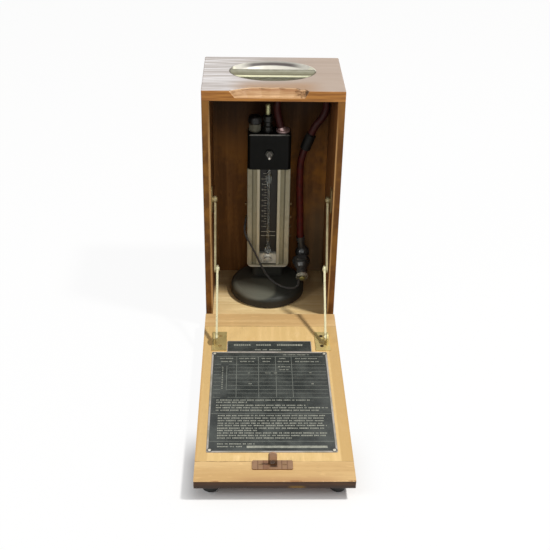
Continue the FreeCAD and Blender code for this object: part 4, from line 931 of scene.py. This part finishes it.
NODE_MATERIALS = {
    "case_top": "top", "case_left_side": "side", "case_right_side": "side", "case_back": "back",
    "case_bottom": "floor_board", "case_feet": "feet", "handle_dish": "dish", "handle_bar": "bar",
    "hinge_case_leaves": "brass", "hinge_pins": "brass", "hinge_case_screws": "steel",
    "left_stay_wall_plate": "plate_steel", "right_stay_wall_plate": "plate_steel",
    "stay_wall_screws": "dark_screw", "gauge_base": "base", "base_pads": "rubber",
    "column_frame": "column", "column_screws": "dark_screw", "scale_plate": "strip",
    "well_cover": "well", "glass_tube": "glass", "head_block": "head", "front_collar": "collar",
    "front_stem": "stem", "gland_nut": "gland", "vent_knob": "knob", "valve_body": "valve",
    "valve_spindle": "spindle", "hose_nipple": "flange", "hose_joiner": "rubber",
    "hose_clip": "gun", "swivel_elbow": "gun", "coupling_nut": "gun", "coupling_body": "coupling",
    "coupling_ring": "chrome", "door_panel": "panel", "door_hinge_batten": "batten",
    "door_free_batten": "batten", "door_feet": "feet", "hinge_door_leaves": "brass",
    "hinge_door_screws": "steel", "title_plate": "title", "instruction_plate": "plate",
    "plate_screws": "bright_screw", "lock_link_plate": "copper", "lock_link_screws": "link_screw",
    "left_stay_bracket": "bracket", "right_stay_bracket": "bracket",
    "bracket_screws": "bracket_screw", "bracket_rivets": "bracket",
    "left_stay_upper_arm": "stay_painted_shade", "right_stay_upper_arm": "stay_painted_shade",
    "left_stay_lower_arm": "stay", "right_stay_lower_arm": "stay",
    "left_stay_knee_rivet": "stay", "right_stay_knee_rivet": "stay",
}


def dress(piece, material):
    slots = piece.material_slots
    if slots:
        for slot in slots:
            slot.material = material
    else:
        piece.data.materials.append(material)


for node, key in NODE_MATERIALS.items():
    dress(bpy.data.objects[node], mats[key])
dress(upper_hose, mats["hose"])
dress(lower_hose, mats["hose"])
dress(tie_cord, mats["cord"])


# Print on the two plates: made-up rules and bars

def bar_into(work, x0, x1, y0, y1, z0, z1):
    low, high = at(x0, y0, z0), at(x1, y1, z1)
    made = bmesh.ops.create_cube(work, size=1)["verts"]
    middle, size = (low + high) / 2, high - low
    for v in made:
        v.co = Vector((middle.x + v.co.x * size.x, middle.y + v.co.y * size.y,
                       middle.z + v.co.z * size.z))


PLATE_TOP = 33.0
RULE_TOP = PLATE_TOP + 0.06
RULE_FOOT = PLATE_TOP - 0.02


def rule(work, x0, y0, x1, y1, width=0.5):
    if abs(x1 - x0) > abs(y1 - y0):
        bar_into(work, x0, x1, y0 - width / 2, y0 + width / 2, RULE_FOOT, RULE_TOP)
    else:
        bar_into(work, x0 - width / 2, x0 + width / 2, min(y0, y1), max(y0, y1), RULE_FOOT, RULE_TOP)


def greeked_row(work, rng, x0, x1, y, height, letter=1.5, gap=0.55, word=None):
    """A row of small blank bars in groups, as a layout shows a line of words."""
    x = x0
    while x < x1 - letter:
        count = word or rng.choice((2, 3, 4, 4, 5, 6, 7, 8))
        for _ in range(count):
            w = letter * rng.choice((0.75, 0.9, 1.0, 1.15))
            if x + w > x1:
                break
            h = height * rng.choice((0.86, 1.0, 1.0))
            bar_into(work, x, x + w, y - h / 2, y + h / 2, RULE_FOOT, RULE_TOP)
            x += w + gap
        x += letter * 1.1


TABLE_TOP = -125.9
TABLE_ROWS = (-145.3, -153.3, -161.4, -169.3, -177.1, -185.8, -194.2, -202.9, -210.8, -220.2)
TABLE_COLUMNS = (-50.1, -18.8, 5.7, 28.6)
# The place and the right end of each row of bars
NOTE_ROWS = ((-226.1, 51), (-230.8, -33.6), (-237.2, 45), (-242.3, 74.5), (-247.7, 63.3))
LOWER_ROWS = ((-258.7, 70.7), (-263.9, 69), (-269.2, 70), (-274.3, 66), (-278.9, 70.7), (-284.3, 68),
              (-288.9, -20), (-293.8, 70), (-298.7, 69), (-303.6, 25.6))


def plate_lines(work):
    rule(work, -79, TABLE_TOP, 75, TABLE_TOP, 0.6)
    for y in TABLE_ROWS:
        rule(work, -82, y, -72, y)
        rule(work, -61.5, y, 77, y)
    for x in TABLE_COLUMNS:
        rule(work, x, TABLE_ROWS[-1], x, TABLE_TOP, 0.55)
    rule(work, -63.9, -203, -63.9, -149, 0.6)
    for y in (-149, -203):
        rule(work, -63.9, y, -61.4, y)
    rule(work, -83, -254.4, 78, -254.4, 0.6)
    rule(work, -83, -309.9, 78, -309.9, 0.6)


def plate_print(work):
    rng = random.Random(7)
    for x0, x1 in ((-54.7, -28.4), (-21.7, 1.9), (8.8, 47.9)):
        greeked_row(work, rng, x0, x1, -97.3, 3.8, 2.5, 0.9, 40)
    for x0, x1 in ((-23.8, -15.5), (-12.5, -5.5), (-2.5, 16.5)):
        greeked_row(work, rng, x0, x1, -109.2, 2.6, 1.6, 0.6, 40)
    greeked_row(work, rng, 17, 55, -121.7, 1.9, 1.3, 0.5)
    for y in (-130.8, -138.1):
        for x0, x1 in ((-76, -52.5), (-48, -21), (-16.5, 3.5), (8, 26.5), (31, 72)):
            inset = rng.uniform(1, 4)
            greeked_row(work, rng, x0 + inset, x1 - inset, y, 2.1, 1.3)
    for k in range(13):
        y = -200 + k * 4
        bar_into(work, -70.6, -68.9, y - 0.8, y + 0.8, RULE_FOOT, RULE_TOP)
    for x, y in ((-34, -165.3), (-9, -165.3), (-5, -165.3), (3, -165.3), (-33, -190), (53, -164.5),
                 (55, -190), (11, -157.5)):
        greeked_row(work, rng, x, x + 4.5, y, 1.9, 1.2)
    greeked_row(work, rng, 9, 27, -150.5, 2.0, 1.3)
    greeked_row(work, rng, 12, 24, -157.5, 2.0, 1.3)
    for y, end in NOTE_ROWS:
        greeked_row(work, rng, -76.8, end, y, 2.2)
    for y, end in LOWER_ROWS:
        greeked_row(work, rng, -73.5, end, y, 2.2)
    greeked_row(work, rng, -72.7, -24.3, -314.9, 2.0)
    greeked_row(work, rng, -72.7, -39.1, -320.1, 2.0)
    bar_into(work, -35, 68.6, -322.6, -318.4, RULE_FOOT, RULE_TOP)


for name, build, key in (("plate_print", plate_print, "print"), ("plate_lines", plate_lines, "lines")):
    print_piece = mesh_object(name, build, smooth=False)
    dress(print_piece, mats[key])
    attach(print_piece, "door")


# Splinters left round the torn place

SPLINTERS = [
    ((34, 5.5, 383.5), (43.5, 3.2, 386.2)), ((36, 7, 386), (45, 3.6, 388.6)),
    ((38, 3.2, 381), (44.5, 0.8, 384.2)), ((30, 10.6, 386), (39.5, 5.6, 388.9)),
    ((41, 7.2, 387), (47, 1.8, 389.2)), ((-58.5, 2.2, 386), (-52, 4.6, 387.6)),
    ((-44, 9.6, 387.5), (-33, 12.6, 388.8)), ((-20, 15.6, 388), (-8, 13.2, 389)),
    ((6, 16, 388.4), (18, 12.8, 389.2)),
]
SPLINTER_ROOT = 0.00065
SPLINTER_TIP = 0.00008


def splinters(work):
    for root, tip in SPLINTERS:
        start, end = at(*root), at(*tip)
        bow = Vector((0, -0.0004, 0.0003))
        line = [start.lerp(end, k / 8) + bow * math.sin(math.pi * k / 8) for k in range(9)]
        tube_into(work, line, lambda t: SPLINTER_ROOT * (1 - t) + SPLINTER_TIP, 6)


splinter_piece = mesh_object("torn_splinters", splinters)
dress(splinter_piece, mats["top"])
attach(splinter_piece, "case")


# Scale marks behind the glass tube

SCALE_ZERO = 118.2
SCALE_STEP = 9.3
SCALE_FACE = 96.0
LOWER_MARK = 110.9
LONG_MARK = -11.4
SHORT_MARK = -9.0
MARK_END = -5.8
NUMBER_HEIGHT = 0.0042
NUMBER_DEPTH = 0.00004
NUMBER_EDGE = -11.6  # the numbers end here, left of the marks


def scale_marks(work):
    for k in range(2, 23):
        z = SCALE_ZERO + SCALE_STEP * k / 2
        left = LONG_MARK if k % 2 == 0 else SHORT_MARK
        bar_into(work, left, MARK_END, SCALE_FACE - 0.08, SCALE_FACE + 0.02, z - 0.35, z + 0.35)
    for z in (SCALE_ZERO, LOWER_MARK):
        bar_into(work, -14.0, 8.6, SCALE_FACE - 0.09, SCALE_FACE + 0.02, z - 0.55, z + 0.55)


marks = mesh_object("scale_marks", scale_marks, smooth=False)
dress(marks, mats["marks"])
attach(marks, "case")


def scale_number(text, z):
    data = bpy.data.curves.new("number_" + text, "FONT")
    data.body = text
    data.size = NUMBER_HEIGHT
    data.align_x = "RIGHT"
    data.align_y = "CENTER"
    data.extrude = NUMBER_DEPTH
    source = new_object("number_source_" + text, data)
    bpy.context.view_layer.update()
    mesh = bpy.data.meshes.new_from_object(source)
    bpy.data.objects.remove(source)
    upright = Matrix.Rotation(math.radians(90), 4, "X")
    mesh.transform(Matrix.Translation(at(NUMBER_EDGE, SCALE_FACE - 0.05, z)) @ upright)
    piece = new_object("scale_number_" + text, mesh)
    dress(piece, mats["marks"])
    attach(piece, "case")


for value in range(1, 11):
    scale_number(str(value), SCALE_ZERO + SCALE_STEP * value)


# Light, floor and background

def seen_rays(tree):
    """1 for the rays by which the background is seen, directly, mirrored or through glass."""
    path = tree.nodes.new("ShaderNodeLightPath")
    total = path.outputs["Is Camera Ray"]
    for kind in ("Is Glossy Ray", "Is Transmission Ray"):
        add = tree.nodes.new("ShaderNodeMath")
        add.operation = "ADD"
        add.use_clamp = True
        tree.links.new(total, add.inputs[0])
        tree.links.new(path.outputs[kind], add.inputs[1])
        total = add.outputs[0]
    return total


FLOOR_RADIUS = 14
FLOOR_SIDES = 96
FLOOR_WHITE = 0.94
SKY_STRENGTH = 0.22
# The floor keeps its shade as far as this to the sides and to the front of the open front
SHADE_HALF = 0.088
SHADE_END = -0.245
SHADE_START = (-0.20, -0.12)
SHADE_FADE = 0.055


def floor_share(s):
    """How white the floor is: it keeps its shadow under the open front and is plain elsewhere."""
    x, y, z = s.axes()
    side = s.math("MAXIMUM", s.minus(s.absolute(x), SHADE_HALF), 0)
    ahead = s.math("MAXIMUM", s.minus(SHADE_END, y), 0)
    near = s.ramp(s.reach(side, ahead), 0.0, SHADE_FADE, 1, 0)
    close = s.times(near, s.ramp(y, *SHADE_START, 1, 0))
    return s.times(FLOOR_WHITE, s.minus(1, close))


def join_shaders(tree, share, first, second, out):
    """Sends a blend of two shaders to the output; the share says how much the second counts."""
    mixer = tree.nodes.new("ShaderNodeMixShader")
    for source, target in zip((share, first.outputs[0], second.outputs[0]), mixer.inputs):
        tree.links.new(source, target)
    tree.links.new(mixer.outputs[0], out.inputs["Surface"])


def white_light(tree, kind, strength):
    node = tree.nodes.new(kind)
    node.inputs["Color"].default_value = (1, 1, 1, 1)
    node.inputs["Strength"].default_value = strength
    return node


def make_floor():
    work = bmesh.new()
    bmesh.ops.create_circle(work, cap_ends=True, segments=FLOOR_SIDES, radius=FLOOR_RADIUS)
    data = bpy.data.meshes.new("studio_floor")
    work.to_mesh(data)
    work.free()
    floor = new_object("studio_floor", data)
    s = Shade("pale_floor", 0.9)
    s.color((0.9, 0.9, 0.9))
    s.specular(0.0)
    glow = white_light(s.tree, "ShaderNodeEmission", 1.0)
    share = s.times(seen_rays(s.tree), floor_share(s))
    join_shaders(s.tree, share, s.bsdf, glow, s.tree.nodes["Material Output"])
    data.materials.append(s.mat)


def make_world():
    world = bpy.data.worlds.new("studio")
    bpy.context.scene.world = world
    world.use_nodes = True
    tree = world.node_tree
    tree.nodes.clear()
    out = tree.nodes.new("ShaderNodeOutputWorld")
    soft = white_light(tree, "ShaderNodeBackground", SKY_STRENGTH)
    plain = white_light(tree, "ShaderNodeBackground", 1.0)
    join_shaders(tree, seen_rays(tree), soft, plain, out)


# Each lamp's name, place, target, size in metres, power in watts and colour
LAMPS = [
    ("key", (1.62, -0.56, 3.25), (0, 0.05, 0.1), 0.34, 112, (1, 0.985, 0.955)),
    ("left_fill", (-1.5, -0.9, 1.1), (0, 0, 0.15), 0.7, 9, (1, 1, 1)),
    ("front_fill", (0.2, -2.2, 1.3), (0, 0, 0.2), 1.2, 5, (1, 1, 1)),
]


def make_lamps():
    for name, place, target, size, power, color in LAMPS:
        data = bpy.data.lights.new(name, "AREA")
        data.shape = "DISK"
        data.size = size
        data.energy = power
        data.color = color
        lamp = new_object(name, data)
        lamp.location = place
        turn = (Vector(target) - Vector(place)).to_track_quat("-Z", "Y")
        lamp.rotation_euler = turn.to_euler()


make_floor()
make_world()
make_lamps()

bpy.context.scene.view_settings.view_transform = "Standard"
